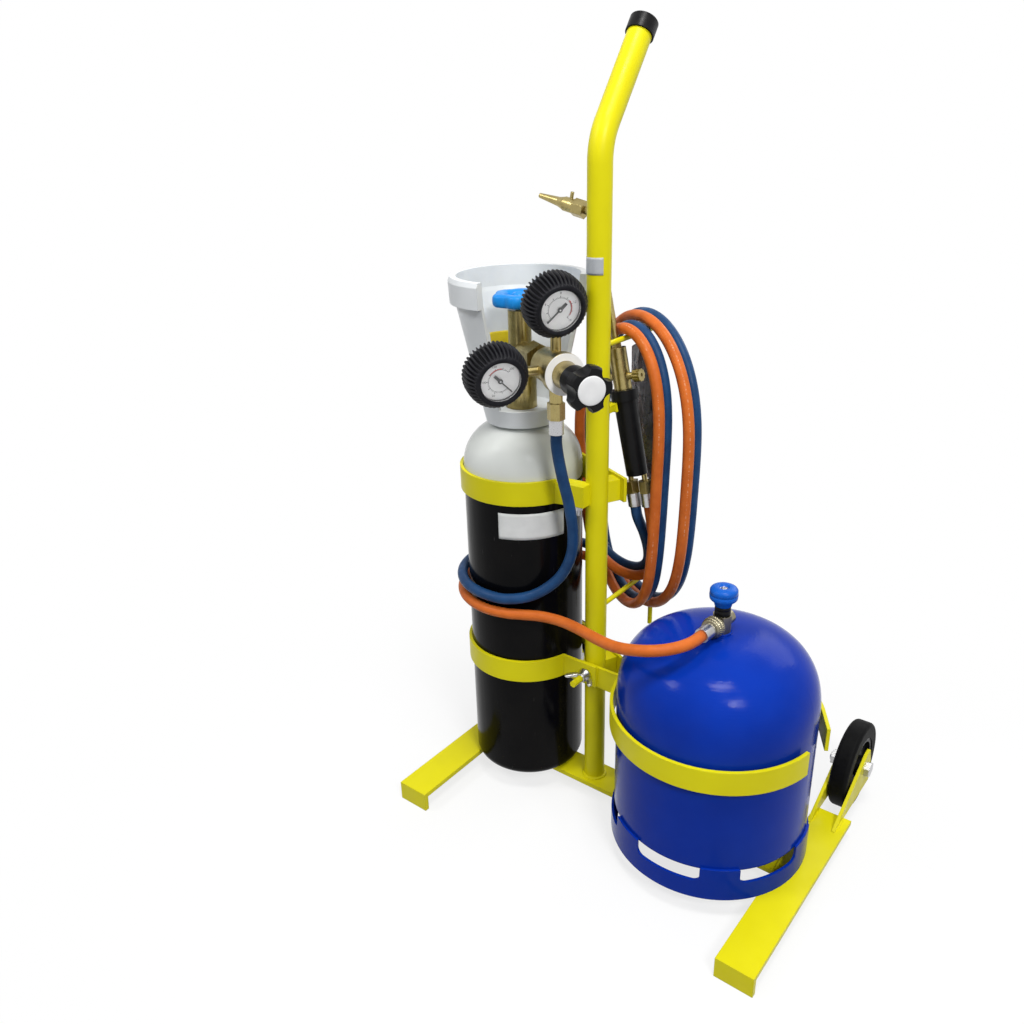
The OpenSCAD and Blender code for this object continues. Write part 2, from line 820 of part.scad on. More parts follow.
module foot_slot() {
    translate([-foot_slot_w / 2, foot_slot_r]) square([foot_slot_w, foot_h]);
    translate([foot_slot_r - foot_slot_w / 2, 0]) square([foot_slot_w - 2 * foot_slot_r, foot_h]);
    for (s = [-1, 1]) translate([s * (foot_slot_w / 2 - foot_slot_r), foot_slot_r]) circle(r = foot_slot_r);
}

module fuel_foot_ring() color(navy) at_fuel() difference() {
    union() {
        translate([0, 0, deck_h]) sector(foot_in, foot_out, foot_h, 0, 360);
        translate([0, 0, deck_h]) sector(foot_in - 5, foot_in + 1, 4, 0, 360);
    }
    for (i = [0:5]) rotate(i * 60 - 87) translate([foot_in - 12, 0, foot_slot_h]) rotate([90, 0, 90])
        linear_extrude(24) foot_slot();
}

module fuel_valve() color(brass) at_fuel() {
    seat = fuel_top + boss_h;
    translate([0, 0, seat - 14])
        cylinder(h = 14 + eps, r = boss_r - 4 - fit_play);
    translate([0, 0, seat])
        cylinder(h = fuel_body_h, r = fuel_body_r);
    translate([0, 0, seat + fuel_body_h - eps])
        cylinder(h = fuel_knob_h - 2 - seat - fuel_body_h, r = fuel_bonnet_r);
    translate([0, 0, fuel_knob_h - 3])
        cylinder(h = 17, r = fuel_spindle_r);
    translate([0, 0, fuel_out_h]) rotate(fuel_turn) rod_x(3.8, 0, fuel_nut_start);
    translate([0, 0, fuel_out_h]) rotate(fuel_turn) rod_x(fuel_plug_r, -15, 0);
}

// Round knob with a groove half way up
module fuel_knob() color(sky) at_fuel() translate([0, 0, fuel_knob_h]) rotate_extrude() polygon([
    [fuel_spindle_r + turn_play, 0],
    [fuel_knob_r - 1.5, 0],
    [fuel_knob_r, 2],
    [fuel_knob_r, 8],
    [fuel_knob_r - 1, 8.8],
    [fuel_knob_r, 9.6],
    [fuel_knob_r, 14],
    [fuel_knob_r - 1.2, 17],
    [fuel_knob_r - 4, 19],
    [0, 19],
    [0, 15],
    [fuel_spindle_r + turn_play, 15]
]);

module fuel_outlet_nut() color(brass) at_fuel() translate([0, 0, fuel_out_h]) rotate(fuel_turn)
    hex_x(21, fuel_nut_start, fuel_nut_end);

// Torch parts
module torch_handle() color(black) at_torch(-torch_handle_len) {
    grip = torch_handle_len - cradle_at + cradle_h;
    cylinder(h = grip + eps, r1 = 12, r2 = 13);
    translate([0, 0, grip])
        cylinder(h = cradle_at - cradle_h, r = cradle_r + 1.3);
}

module torch_body() color(brass) at_torch() {
    cylinder(h = torch_body_h, r = 10);
    translate([0, 0, torch_body_h - eps])
        cylinder(h = torch_collar_h - torch_body_h, d = 12, $fn = 6);
    for (s = [-1, 1]) translate([0, 0, torch_valve_h]) sided(s) {
        rod_x(4, 8, torch_knob_start - 1);
        rod_x(torch_spindle_r, torch_knob_start - 2, torch_knob_start + 8);
    }
}

module torch_knob(s) color(brass) at_torch(torch_valve_h) sided(s) translate([torch_knob_start, 0, 0])
    rotate([90, 0, 90]) difference() {
        linear_extrude(9) lobed(7, 1.6, 10);
        translate([0, 0, -1])
            cylinder(h = 12, r = torch_spindle_r + turn_play);
    }

module torch_fuel_knob() torch_knob(1);
module torch_oxygen_knob() torch_knob(-1);

// Frame at the end of the neck bend, +Z towards the nozzle tip
module at_tip() translate([-torch_bend_r, 0, torch_bend_h]) rotate([0, -torch_bend, 0])
    translate([torch_bend_r, 0, 0]) children();

module torch_neck() color(brass) at_torch() {
    translate([0, 0, torch_collar_h])
        cylinder(h = torch_bend_h - torch_collar_h, r = torch_tube_r);
    translate([-torch_bend_r, 0, torch_bend_h]) rotate([90, 0, 0])
        rotate_extrude(angle = torch_bend) translate([torch_bend_r, 0]) circle(r = torch_tube_r);
}

module torch_nozzle() color(brass) at_torch() at_tip() difference() {
    union() {
        cylinder(h = 14, d = 19, $fn = 6);
        translate([0, 0, 13])
            cylinder(h = 14, r = 7.5);
        translate([0, 0, 26])
            cylinder(h = 9, r1 = 7.5, r2 = 5);
        translate([0, 0, 34.9])
            cylinder(h = 26, r1 = 5, r2 = 2.6);
        translate([0, 0, 20])
            rotate([0, 90, 0]) cylinder(h = 14, r = 2);
    }
    translate([0, 0, 30])
        cylinder(h = 40, r = 0.9);
}

module torch_hose_nuts() color(brass) for (s = [-1, 1]) at_torch(-torch_ferrule, s * torch_nut_gap) {
    cylinder(h = torch_nut_len - 8, d = 17, $fn = 6);
    translate([0, 0, torch_nut_len - 8 - eps])
        cylinder(h = 8 + eps, r = 3);
}

// One coil: loops that hang on the upper hook, rounded at the ends and straighter at the sides
function unit(v) = v / norm(v);
function flat_sine(t) = sin(t) * (1 + coil_square) / (1 + coil_square * abs(sin(t)));
function coil_point(t, lane) = let (
    a = coil_a0 + (coil_a1 - coil_a0) * (t - 360) / 360,
    side = a * cos(t),
    b = coil_b + coil_grow * (810 - t) / 360,
    rise = a * sin(t) + (b - a) * flat_sine(t),
    w = side * cos(coil_tilt) - rise * sin(coil_tilt),
    h = side * sin(coil_tilt) + rise * cos(coil_tilt)
) [
    coil_x + w * cos(coil_yaw),
    coil_y + lane + coil_pitch * (810 - t) / 360 - w * sin(coil_yaw),
    coil_h + h
];
function coil_way(t, lane) = unit(coil_point(t + 0.5, lane) - coil_point(t - 0.5, lane));
function coil_start(lane, back) = coil_point(coil_from, lane) - back * hose_d * coil_way(coil_from, lane);
function coil_finish(lane, on) = coil_point(coil_to, lane) + on * hose_d * coil_way(coil_to, lane);
function coil_path(lane) = concat(
    [coil_start(lane, 1)],
    [for (t = [coil_from:coil_step:coil_to]) coil_point(t, lane)],
    [coil_finish(lane, 1)]
);

// Hose stretches between the fittings and the coils; both leads pass round the oxygen cylinder
function wrap(i, z) = let (a = wrap_from + (wrap_to - wrap_from) * i / wrap_parts)
    [wrap_r * cos(a) - ox_offset, wrap_r * sin(a), z];
reg_end_h = outlet_bottom - ferrule_len;
fuel_end_r = fuel_nut_end + ferrule_len;
torch_end = -torch_ferrule - ferrule_len;

oxygen_lead = concat(
    [reg_point(outlet_at, reg_end_h), reg_point(outlet_at, reg_end_h - hose_d)],
    [[-10, -53, 450], [-5, -47, 415], [-4, -41, 378], [-10, -38, 346], [-26, -41, 315], [-50, -57, 294]],
    [for (i = [0:wrap_parts]) wrap(i, 288)],
    [[-138, 86, 286], [-117, 118, 279], [-99, 139, 267], [-76, 148, 252]],
    [coil_start(hose_lane, 2), coil_start(hose_lane, 1)]
);
fuel_lead = concat(
    [fuel_point(fuel_end_r, fuel_out_h), fuel_point(fuel_end_r + hose_d, fuel_out_h)],
    [[152.8, -64.7, 304.5], [147.2, -76.1, 304.5], [139.1, -85.8, 304], [128.8, -93.3, 303]],
    [[117, -97.3, 301], [99, -97.5, 296.5], [79, -91.5, 290.5]],
    [[59, -82.5, 285], [39, -73, 280.3], [19, -64.5, 276.6]],
    [[-1, -58.3, 273.6], [-21, -55.5, 271.2], [-41, -57.5, 269.5], [-59, -65, 269]],
    [for (i = [0:wrap_parts]) wrap(i, 269)],
    [[-138, 83, 267], [-113, 114, 262], [-94, 129, 255], [-71, 134, 246]],
    [coil_start(0, 2), coil_start(0, 1)]
);
oxygen_tail = concat(
    [coil_finish(hose_lane, 1), coil_finish(hose_lane, 2)],
    [[-62, 95, 520], [-74, 96, 488], [-78, 96, 452], [-79, 97, 415], [-79, 98, 380]],
    [[-77, 99, 350], [-72, 100, 322], [-61, 100.5, 300], [-43, 101, 284], [-21, 100, 278]],
    [[1, 95, 283], [17.5, 86, 298], [26, 74, 320], [29, 58, 350]],
    [torch_point(-torch_nut_gap, torch_end - hose_d), torch_point(-torch_nut_gap, torch_end)]
);
fuel_tail = concat(
    [coil_finish(0, 1), coil_finish(0, 2)],
    [[-62, 79, 520], [-74, 78, 488], [-76, 77, 452], [-74, 79, 415], [-72, 81, 376]],
    [[-68, 82.5, 340], [-61, 83, 311], [-45, 83.5, 289], [-22, 83, 277.5], [3, 81, 277.5]],
    [[25, 77, 289], [38, 71, 307], [43, 62.5, 331], [43, 53, 357]],
    [torch_point(torch_nut_gap, torch_end - hose_d), torch_point(torch_nut_gap, torch_end)]
);

// A round tube of one polyhedron along a list of points
function path_way(p, i) = unit(p[min(i + 1, len(p) - 1)] - p[max(i - 1, 0)]);
function side_ways(p, i, last) = i >= len(p) ? [] : let (
    way = path_way(p, i),
    side = unit(last - (last * way) * way)
) concat([side], side_ways(p, i + 1, side));
function first_side(p) = let (way = path_way(p, 0))
    cross(way, abs(way[2]) < 0.8 ? [0, 0, 1] : [1, 0, 0]);
function rings(p, sides) = let (u = side_ways(p, 0, unit(first_side(p)))) [for (i = [0:len(p) - 1])
    let (v = cross(path_way(p, i), u[i])) for (k = [0:sides - 1])
        p[i] + hose_r * (cos(360 * k / sides) * u[i] + sin(360 * k / sides) * v)];
function tube_faces(n, s) = concat(
    [for (i = [0:n - 2]) for (k = [0:s - 1]) let (a = i * s + k, b = i * s + (k + 1) % s) [a, a + s, b]],
    [for (i = [0:n - 2]) for (k = [0:s - 1]) let (a = i * s + k, b = i * s + (k + 1) % s) [b, a + s, b + s]],
    [for (k = [1:s - 2]) [0, k, k + 1]],
    [for (k = [1:s - 2]) [(n - 1) * s, (n - 1) * s + k + 1, (n - 1) * s + k]]
);
module tube(path, sides) at_mast()
    polyhedron(rings(path, sides), tube_faces(len(path), sides), convexity = 10);

module oxygen_hose_lead() color(hose_blue) tube(oxygen_lead, lead_sides);
module oxygen_hose_coil() color(hose_blue) tube(coil_path(hose_lane), coil_sides);
module oxygen_hose_tail() color(hose_blue) tube(oxygen_tail, lead_sides);
module fuel_hose_lead() color(hose_orange) tube(fuel_lead, lead_sides);
module fuel_hose_coil() color(hose_orange) tube(coil_path(0), coil_sides);
module fuel_hose_tail() color(hose_orange) tube(fuel_tail, lead_sides);

// Least gap of a coil to itself between points more than half a loop apart, and the length of each hose
function least_gap(p) = -hose_d +
    min([for (i = [0:len(p) - 13]) for (j = [i + 12:len(p) - 1]) norm(p[i] - p[j])]);
function run(p) = [for (i = [1:len(p) - 1]) norm(p[i] - p[i - 1])] * [for (i = [1:len(p) - 1]) 1];
echo(least_gap_mm = [least_gap(coil_path(hose_lane)), least_gap(coil_path(0))]);
echo(oxygen_hose_mm = run(oxygen_lead) + run(coil_path(hose_lane)) + run(oxygen_tail));
echo(fuel_hose_mm = run(fuel_lead) + run(coil_path(0)) + run(fuel_tail));

// Pouch of spares hung on the upper hook between two strands
module spares_pouch() color(grey) at_mast() translate([0, pouch_y, 0]) rotate(-pouch_yaw) difference() {
    union() {
        hull() {
            for (x = [-pouch_half, pouch_half]) translate([x, 0, pouch_low])
                cylinder(h = pouch_full, r = pouch_t, $fn = 24);
            translate([-pouch_half - pouch_t, -0.4, pouch_high])
                cube([2 * pouch_half + 2 * pouch_t, 0.8, 8]);
        }
        translate([-pouch_tab, -0.4, pouch_high])
            cube([2 * pouch_tab, 0.8, pouch_head - pouch_high]);
    }
    translate([0, 0, upper_hook_h])
        rotate(pouch_yaw) rotate([90, 0, 0]) cylinder(h = 20, r = hook_r + 1, center = true);
}

cross_beam();
left_runner();
right_runner();
mast();
handle_cap();
upper_clamp_band();
clamp_blocks();
clamp_bolt();
lower_clamp_strap();
fuel_ring();
wing_nut();
hose_hooks();
torch_cradle();
left_wheel_bracket();
right_wheel_bracket();
axle_bolts();
axle_nuts();
left_wheel_hub();
left_wheel_tyre();
right_wheel_hub();
right_wheel_tyre();
oxygen_cylinder();
valve_guard();
oxygen_valve();
oxygen_handwheel();
inlet_nut();
regulator_body();
regulator_bonnet();
bonnet_ring();
regulator_diaphragm();
control_spring();
adjusting_knob();
gauge_stems();
gauge_cases();
gauge_boots();
gauge_dials();
gauge_lenses();
contents_needle();
outlet_needle();
outlet_connector();
hose_ferrules();
fuel_cylinder();
fuel_foot_ring();
fuel_valve();
fuel_knob();
fuel_outlet_nut();
torch_handle();
torch_body();
torch_oxygen_knob();
torch_fuel_knob();
torch_neck();
torch_nozzle();
torch_hose_nuts();
oxygen_hose_lead();
oxygen_hose_coil();
oxygen_hose_tail();
fuel_hose_lead();
fuel_hose_coil();
fuel_hose_tail();
spares_pouch();
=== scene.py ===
"""Two-wheeled workshop gas cart: the looks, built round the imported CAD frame, in metres."""
import json
import math
import random

import bpy
from mathutils import Matrix, Vector, noise
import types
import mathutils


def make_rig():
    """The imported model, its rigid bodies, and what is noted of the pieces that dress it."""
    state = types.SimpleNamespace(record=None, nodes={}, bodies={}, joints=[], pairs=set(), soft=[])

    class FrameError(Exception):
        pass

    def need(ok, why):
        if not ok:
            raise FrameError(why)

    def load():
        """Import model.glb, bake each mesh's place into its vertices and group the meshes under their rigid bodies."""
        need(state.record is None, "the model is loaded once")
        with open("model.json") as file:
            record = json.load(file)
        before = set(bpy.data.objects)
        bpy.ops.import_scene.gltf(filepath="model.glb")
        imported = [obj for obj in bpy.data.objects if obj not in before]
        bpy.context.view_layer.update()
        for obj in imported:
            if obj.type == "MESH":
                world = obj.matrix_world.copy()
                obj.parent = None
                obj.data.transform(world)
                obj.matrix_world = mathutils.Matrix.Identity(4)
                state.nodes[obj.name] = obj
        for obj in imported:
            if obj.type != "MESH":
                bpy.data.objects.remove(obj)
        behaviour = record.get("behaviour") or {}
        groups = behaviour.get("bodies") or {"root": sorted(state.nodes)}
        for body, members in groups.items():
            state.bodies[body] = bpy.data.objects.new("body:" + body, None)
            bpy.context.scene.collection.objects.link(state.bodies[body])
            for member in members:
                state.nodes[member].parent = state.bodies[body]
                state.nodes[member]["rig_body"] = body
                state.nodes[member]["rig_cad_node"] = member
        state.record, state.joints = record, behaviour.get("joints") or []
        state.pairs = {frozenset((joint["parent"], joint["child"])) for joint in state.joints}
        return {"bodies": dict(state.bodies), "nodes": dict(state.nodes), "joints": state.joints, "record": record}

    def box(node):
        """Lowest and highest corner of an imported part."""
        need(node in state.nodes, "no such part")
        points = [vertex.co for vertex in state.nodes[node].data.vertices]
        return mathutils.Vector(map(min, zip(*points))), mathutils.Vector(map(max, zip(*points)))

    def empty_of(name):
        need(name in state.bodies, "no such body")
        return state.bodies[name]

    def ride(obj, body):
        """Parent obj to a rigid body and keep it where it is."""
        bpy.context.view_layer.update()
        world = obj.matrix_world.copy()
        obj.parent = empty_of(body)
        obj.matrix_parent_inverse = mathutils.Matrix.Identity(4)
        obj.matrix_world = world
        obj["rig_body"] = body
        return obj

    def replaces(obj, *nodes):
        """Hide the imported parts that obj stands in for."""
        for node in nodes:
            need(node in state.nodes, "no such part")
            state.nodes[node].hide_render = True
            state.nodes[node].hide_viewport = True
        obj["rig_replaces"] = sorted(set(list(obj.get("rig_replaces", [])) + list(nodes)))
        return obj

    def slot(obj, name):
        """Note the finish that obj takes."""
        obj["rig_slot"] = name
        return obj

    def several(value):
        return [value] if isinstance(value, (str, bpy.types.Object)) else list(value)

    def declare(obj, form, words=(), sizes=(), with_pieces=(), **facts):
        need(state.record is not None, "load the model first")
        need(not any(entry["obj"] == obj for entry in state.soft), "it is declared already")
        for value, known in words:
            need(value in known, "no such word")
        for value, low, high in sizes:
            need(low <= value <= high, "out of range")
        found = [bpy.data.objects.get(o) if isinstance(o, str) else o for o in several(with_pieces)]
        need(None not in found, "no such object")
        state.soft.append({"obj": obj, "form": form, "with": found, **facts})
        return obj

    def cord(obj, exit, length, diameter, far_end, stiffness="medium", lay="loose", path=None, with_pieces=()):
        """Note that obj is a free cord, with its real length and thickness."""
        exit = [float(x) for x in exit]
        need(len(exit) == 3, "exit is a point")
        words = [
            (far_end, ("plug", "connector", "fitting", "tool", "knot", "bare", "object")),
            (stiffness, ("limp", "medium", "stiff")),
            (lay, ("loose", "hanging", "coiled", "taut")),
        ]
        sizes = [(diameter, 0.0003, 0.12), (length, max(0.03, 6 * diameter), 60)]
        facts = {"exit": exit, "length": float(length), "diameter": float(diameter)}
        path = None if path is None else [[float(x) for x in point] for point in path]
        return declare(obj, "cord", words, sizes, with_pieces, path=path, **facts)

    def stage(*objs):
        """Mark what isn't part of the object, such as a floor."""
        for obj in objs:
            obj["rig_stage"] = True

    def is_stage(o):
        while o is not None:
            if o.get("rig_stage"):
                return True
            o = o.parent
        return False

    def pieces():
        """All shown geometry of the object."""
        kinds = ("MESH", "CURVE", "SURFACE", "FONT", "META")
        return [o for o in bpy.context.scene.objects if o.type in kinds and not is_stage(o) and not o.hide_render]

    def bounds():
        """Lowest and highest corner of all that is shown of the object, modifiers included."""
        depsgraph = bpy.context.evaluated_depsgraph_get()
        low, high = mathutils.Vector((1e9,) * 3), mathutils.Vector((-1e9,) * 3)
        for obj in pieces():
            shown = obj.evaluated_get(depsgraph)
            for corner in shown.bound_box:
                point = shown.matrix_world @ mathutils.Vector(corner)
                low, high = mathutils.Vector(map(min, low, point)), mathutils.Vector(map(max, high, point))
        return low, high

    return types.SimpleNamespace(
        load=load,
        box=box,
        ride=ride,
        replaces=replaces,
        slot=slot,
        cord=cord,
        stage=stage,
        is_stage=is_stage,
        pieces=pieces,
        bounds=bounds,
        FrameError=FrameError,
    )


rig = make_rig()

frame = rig.load()
CAD_LOW, CAD_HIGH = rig.bounds()
NODES = frame["nodes"]

# The mast's foot in the part frame, in millimetres
MAST = Vector((-52.5, -32.5, 0.0))

# Places of the CAD, in millimetres from the mast's foot
OX_X = -104.0
FUEL_X = 160.0
OX_R = 70.0
MAST_R = 12.7
DECK_Z = 25.0
REG_Z = 566.0
REG_TURN = math.radians(-32)
GUARD_FOOT_R, GUARD_FOOT_Z = 36.5, 484.3
GUARD_TOP_R, GUARD_TOP_Z = 65.5, 620.0
FUEL_TURN = math.radians(265)
FUEL_OUT_Z = 304.0
FUEL_KNOB_Z = 326.5
HOOK_HEIGHTS = (579, 265)
TORCH = Vector((3.5, 46.0, 524.0))
TORCH_LEAN = math.radians(12)


def at(x, y, z):
    """A point given in millimetres from the mast's foot, in the part frame in metres."""
    return (Vector((x, y, z)) + MAST) / 1000


def from_part(p):
    """A part-frame point in metres back in millimetres from the mast's foot."""
    return p * 1000 - MAST


def reg(t, y, z):
    """A point of the regulator: t outwards along its axis, y to the right seen from its front, z up."""
    c, s = math.cos(REG_TURN), math.sin(REG_TURN)
    return at(t * c - y * s + OX_X, t * s + y * c, REG_Z + z)


def torch(x, z):
    """A point of the torch: z along its axis, x across it."""
    c, s = math.cos(TORCH_LEAN), math.sin(TORCH_LEAN)
    return at(TORCH.x + x * c - z * s, TORCH.y, TORCH.z + x * s + z * c)


def ease(share):
    """A share from 0 to 1 with soft ends."""
    return share * share * (3 - 2 * share)


# Camera, fitted to the photograph
CAMERA_SPOT = (511.85, -783.68, 797.86)
CAMERA_TURN, CAMERA_RISE, CAMERA_ROLL = (math.radians(a) for a in (39.02, 23.42, -1.79))
CAMERA_LENS, CAMERA_SENSOR = 31.603, 36
CAMERA_CLIP = (0.01, 50)


def make_camera():
    turn, rise, roll = CAMERA_TURN, CAMERA_RISE, CAMERA_ROLL
    back = Vector((math.sin(turn) * math.cos(rise), -math.cos(turn) * math.cos(rise), math.sin(rise)))
    right = Vector((math.cos(turn), math.sin(turn), 0))
    up = back.cross(right)
    across = right * math.cos(roll) + up * math.sin(roll)
    upward = up * math.cos(roll) - right * math.sin(roll)
    data = bpy.data.cameras.new("camera")
    data.sensor_width = CAMERA_SENSOR
    data.lens = CAMERA_LENS
    data.clip_start, data.clip_end = CAMERA_CLIP
    camera = bpy.data.objects.new("camera", data)
    axes = Matrix((across, upward, back)).transposed().to_4x4()
    camera.matrix_world = Matrix.Translation(at(*CAMERA_SPOT)) @ axes
    bpy.context.scene.collection.objects.link(camera)
    bpy.context.scene.camera = camera


# Materials
class Look:
    """A Principled material and short names for the nodes that feed it."""

    def __init__(self, name, **sockets):
        self.mat = bpy.data.materials.new(name)
        self.mat.use_nodes = True
        self.tree = self.mat.node_tree
        self.bsdf = self.tree.nodes["Principled BSDF"]
        for socket, value in sockets.items():
            self.bsdf.inputs[socket.replace("_", " ")].default_value = value
        self.normal = None

    def add(self, kind, inputs=(), **settings):
        node = self.tree.nodes.new("ShaderNode" + kind)
        for key, value in settings.items():
            setattr(node, key, value)
        for key, value in dict(inputs).items():
            if isinstance(value, bpy.types.NodeSocket):
                self.tree.links.new(value, node.inputs[key])
            else:
                node.inputs[key].default_value = value
        return node

    def feed(self, socket, value):
        self.tree.links.new(value, self.bsdf.inputs[socket])

    def place(self, stretch=(1, 1, 1), turn=(0, 0, 0)):
        where = self.add("TexCoord").outputs["Object"]
        return self.add("Mapping", {"Vector": where, "Scale": stretch, "Rotation": turn}).outputs[0]

    def noise(self, scale, detail=3.0, rough=0.55, where=None):
        inputs = {"Vector": where or self.place(), "Scale": scale, "Detail": detail, "Roughness": rough}
        return self.add("TexNoise", inputs).outputs[0]

    def streaks(self, stretch, turn=(0, 0, 0), detail=3.0, rough=0.6):
        """Noise drawn out along the object's axes, or along axes turned from them."""
        return self.noise(1.0, detail, rough, self.place(stretch, turn))

    def cells(self, scale, where=None):
        where = where or self.place()
        return self.add("TexVoronoi", {"Vector": where, "Scale": scale}).outputs["Distance"]

    def span(self, value, low, high, start=0.3, end=0.7):
        """value mapped from start..end to low..high, smoothly."""
        limits = {"From Min": start, "From Max": end, "To Min": low, "To Max": high}
        return self.add("MapRange", {"Value": value, **limits}, interpolation_type="SMOOTHSTEP").outputs[0]

    def math(self, how, a, b=0.0):
        return self.add("Math", {0: a, 1: b}, operation=how).outputs[0]

    def mix(self, fac, a, b):
        node = self.add("Mix", data_type="RGBA")
        for socket, value in ((node.inputs["Factor"], fac), (node.inputs[6], a), (node.inputs[7], b)):
            if isinstance(value, bpy.types.NodeSocket):
                self.tree.links.new(value, socket)
            else:
                socket.default_value = (*value, 1)
        return node.outputs[2]

    def drift(self, light, dark, scale, detail):
        """A tone that wanders between two colours."""
        return self.mix(self.span(self.noise(scale, detail), 0.0, 1.0), light, dark)

    def roughen(self, scale, detail, low, high):
        """Roughness that wanders between low and high."""
        self.feed("Roughness", self.span(self.noise(scale, detail), low, high))

    def edge(self, radius):
        """1 on the sharp edges and 0 elsewhere; the shading of the edges gets round too."""
        self.normal = self.add("Bevel", {"Radius": radius}, samples=4).outputs[0]
        flat = self.add("NewGeometry").outputs["Normal"]
        dot = self.add("VectorMath", {0: self.normal, 1: flat}, operation="DOT_PRODUCT").outputs["Value"]
        return self.span(dot, 1.0, 0.0, 0.72, 0.985)

    def bump(self, height, strength, distance):
        """A bump on top of the shading so far."""
        inputs = {"Height": height, "Strength": strength, "Distance": distance}
        if self.normal:
            inputs["Normal"] = self.normal
        self.normal = self.add("Bump", inputs).outputs[0]
        self.feed("Normal", self.normal)


def painted(name, light, dark, rough, chip, gloss, peel=900, peel_depth=0.00025):
    """Sprayed paint: a slow drift of tone, orange peel, and edges rubbed to the chip colour in places."""
    look = Look(name, Specular_IOR_Level=gloss)
    tone = look.drift(light, dark, 9, 3)
    rub = look.math("MULTIPLY", look.edge(0.0011), look.span(look.noise(130, 5), 0.0, 0.7, 0.52, 0.68))
    specks = look.span(look.noise(420, 2), 0.0, 0.35, 0.72, 0.8)
    look.feed("Base Color", look.mix(look.math("MAXIMUM", rub, specks), tone, chip))
    look.roughen(55, 5, rough - 0.06, rough + 0.08)
    look.bump(look.noise(peel, 2), 0.35, peel_depth)
    return look.mat


def metal(name, light, dark, rough, marks=(3000, 3000, 60), tarnish=0.6):
    """Turned or plated metal: tool marks, a cloudy finish and darker tarnish in patches."""
    look = Look(name, Metallic=1.0)
    cloud = look.span(look.noise(70, 5, 0.65), 0.0, tarnish, 0.42, 0.72)
    look.edge(0.0006)
    look.feed("Base Color", look.mix(cloud, light, dark))
    grain = look.streaks(marks, detail=2, rough=0.5)
    worked = look.span(grain, rough - 0.06, rough + 0.06)
    look.feed("Roughness", look.math("ADD", worked, look.span(cloud, 0.0, 0.16, 0.0, 1.0)))
    look.bump(grain, 0.12, 0.0001)
    look.bump(look.noise(500, 3), 0.10, 0.0002)
    return look.mat


def plastic(name, light, dark, rough, scuff, gloss, grain, depth=0.0001, coat=0.0):
    """Moulded plastic: fine spark grain, a slow drift of tone and faint scuffs."""
    look = Look(name, Coat_Weight=coat, Coat_Roughness=0.2, Specular_IOR_Level=gloss)
    tone = look.drift(light, dark, 22, 4)
    scratch = look.span(look.streaks((900, 160, 420), (0.5, 0.9, 0.2)), 0.0, 0.3, 0.66, 0.78)
    rub = look.math("MULTIPLY", look.edge(0.0007), look.span(look.noise(240, 4), 0.0, 0.25, 0.45, 0.7))
    look.feed("Base Color", look.mix(look.math("MAXIMUM", scratch, rub), tone, scuff))
    look.roughen(120, 4, rough - 0.07, rough + 0.08)
    look.bump(look.cells(grain), 0.25, depth)
    return look.mat


def rubber(name, light, dark, rough, dust, gloss, ridges=None):
    """Moulded rubber with a dusty bloom in patches."""
    look = Look(name, Specular_IOR_Level=gloss)
    bloom = look.span(look.noise(38, 6, 0.7), 0.0, 0.55, 0.48, 0.75)
    tone = look.drift(light, dark, 160, 3)
    look.edge(0.0008)
    look.feed("Base Color", look.mix(bloom, tone, dust))
    look.feed("Roughness", look.span(bloom, rough, rough + 0.15, 0.0, 0.55))
    if ridges:
        look.bump(look.streaks(ridges, detail=2, rough=0.5), 0.3, 0.0004)
    look.bump(look.noise(1500, 3), 0.3, 0.00015)
    return look.mat


def two_tone_paint(name, split_z):
    """Cylinder paint: gloss black body, off-white shoulder above split_z."""
    look = Look(name, Specular_IOR_Level=0.06)
    height = look.add("SeparateXYZ", {0: look.add("TexCoord").outputs["Object"]}).outputs["Z"]
    wobble = look.math("MULTIPLY", look.math("SUBTRACT", look.noise(180, 3), 0.5), 0.0012)
    upper = look.span(look.math("ADD", height, wobble), 0.0, 1.0, split_z - 0.0003, split_z + 0.0003)
    white = look.drift((0.66, 0.68, 0.65), (0.60, 0.62, 0.60), 11, 3)
    black = look.drift((0.002, 0.002, 0.0025), (0.005, 0.0045, 0.0045), 16, 4)
    scratch = look.span(look.streaks((700, 700, 40)), 0.0, 0.22, 0.7, 0.8)
    look.feed("Base Color", look.mix(scratch, look.mix(upper, black, white), (0.30, 0.30, 0.29)))
    look.roughen(70, 5, 0.10, 0.20)
    look.bump(look.streaks((70, 70, 9), detail=2, rough=0.5), 0.25, 0.0012)
    look.bump(look.noise(800, 2), 0.25, 0.0002)
    return look.mat


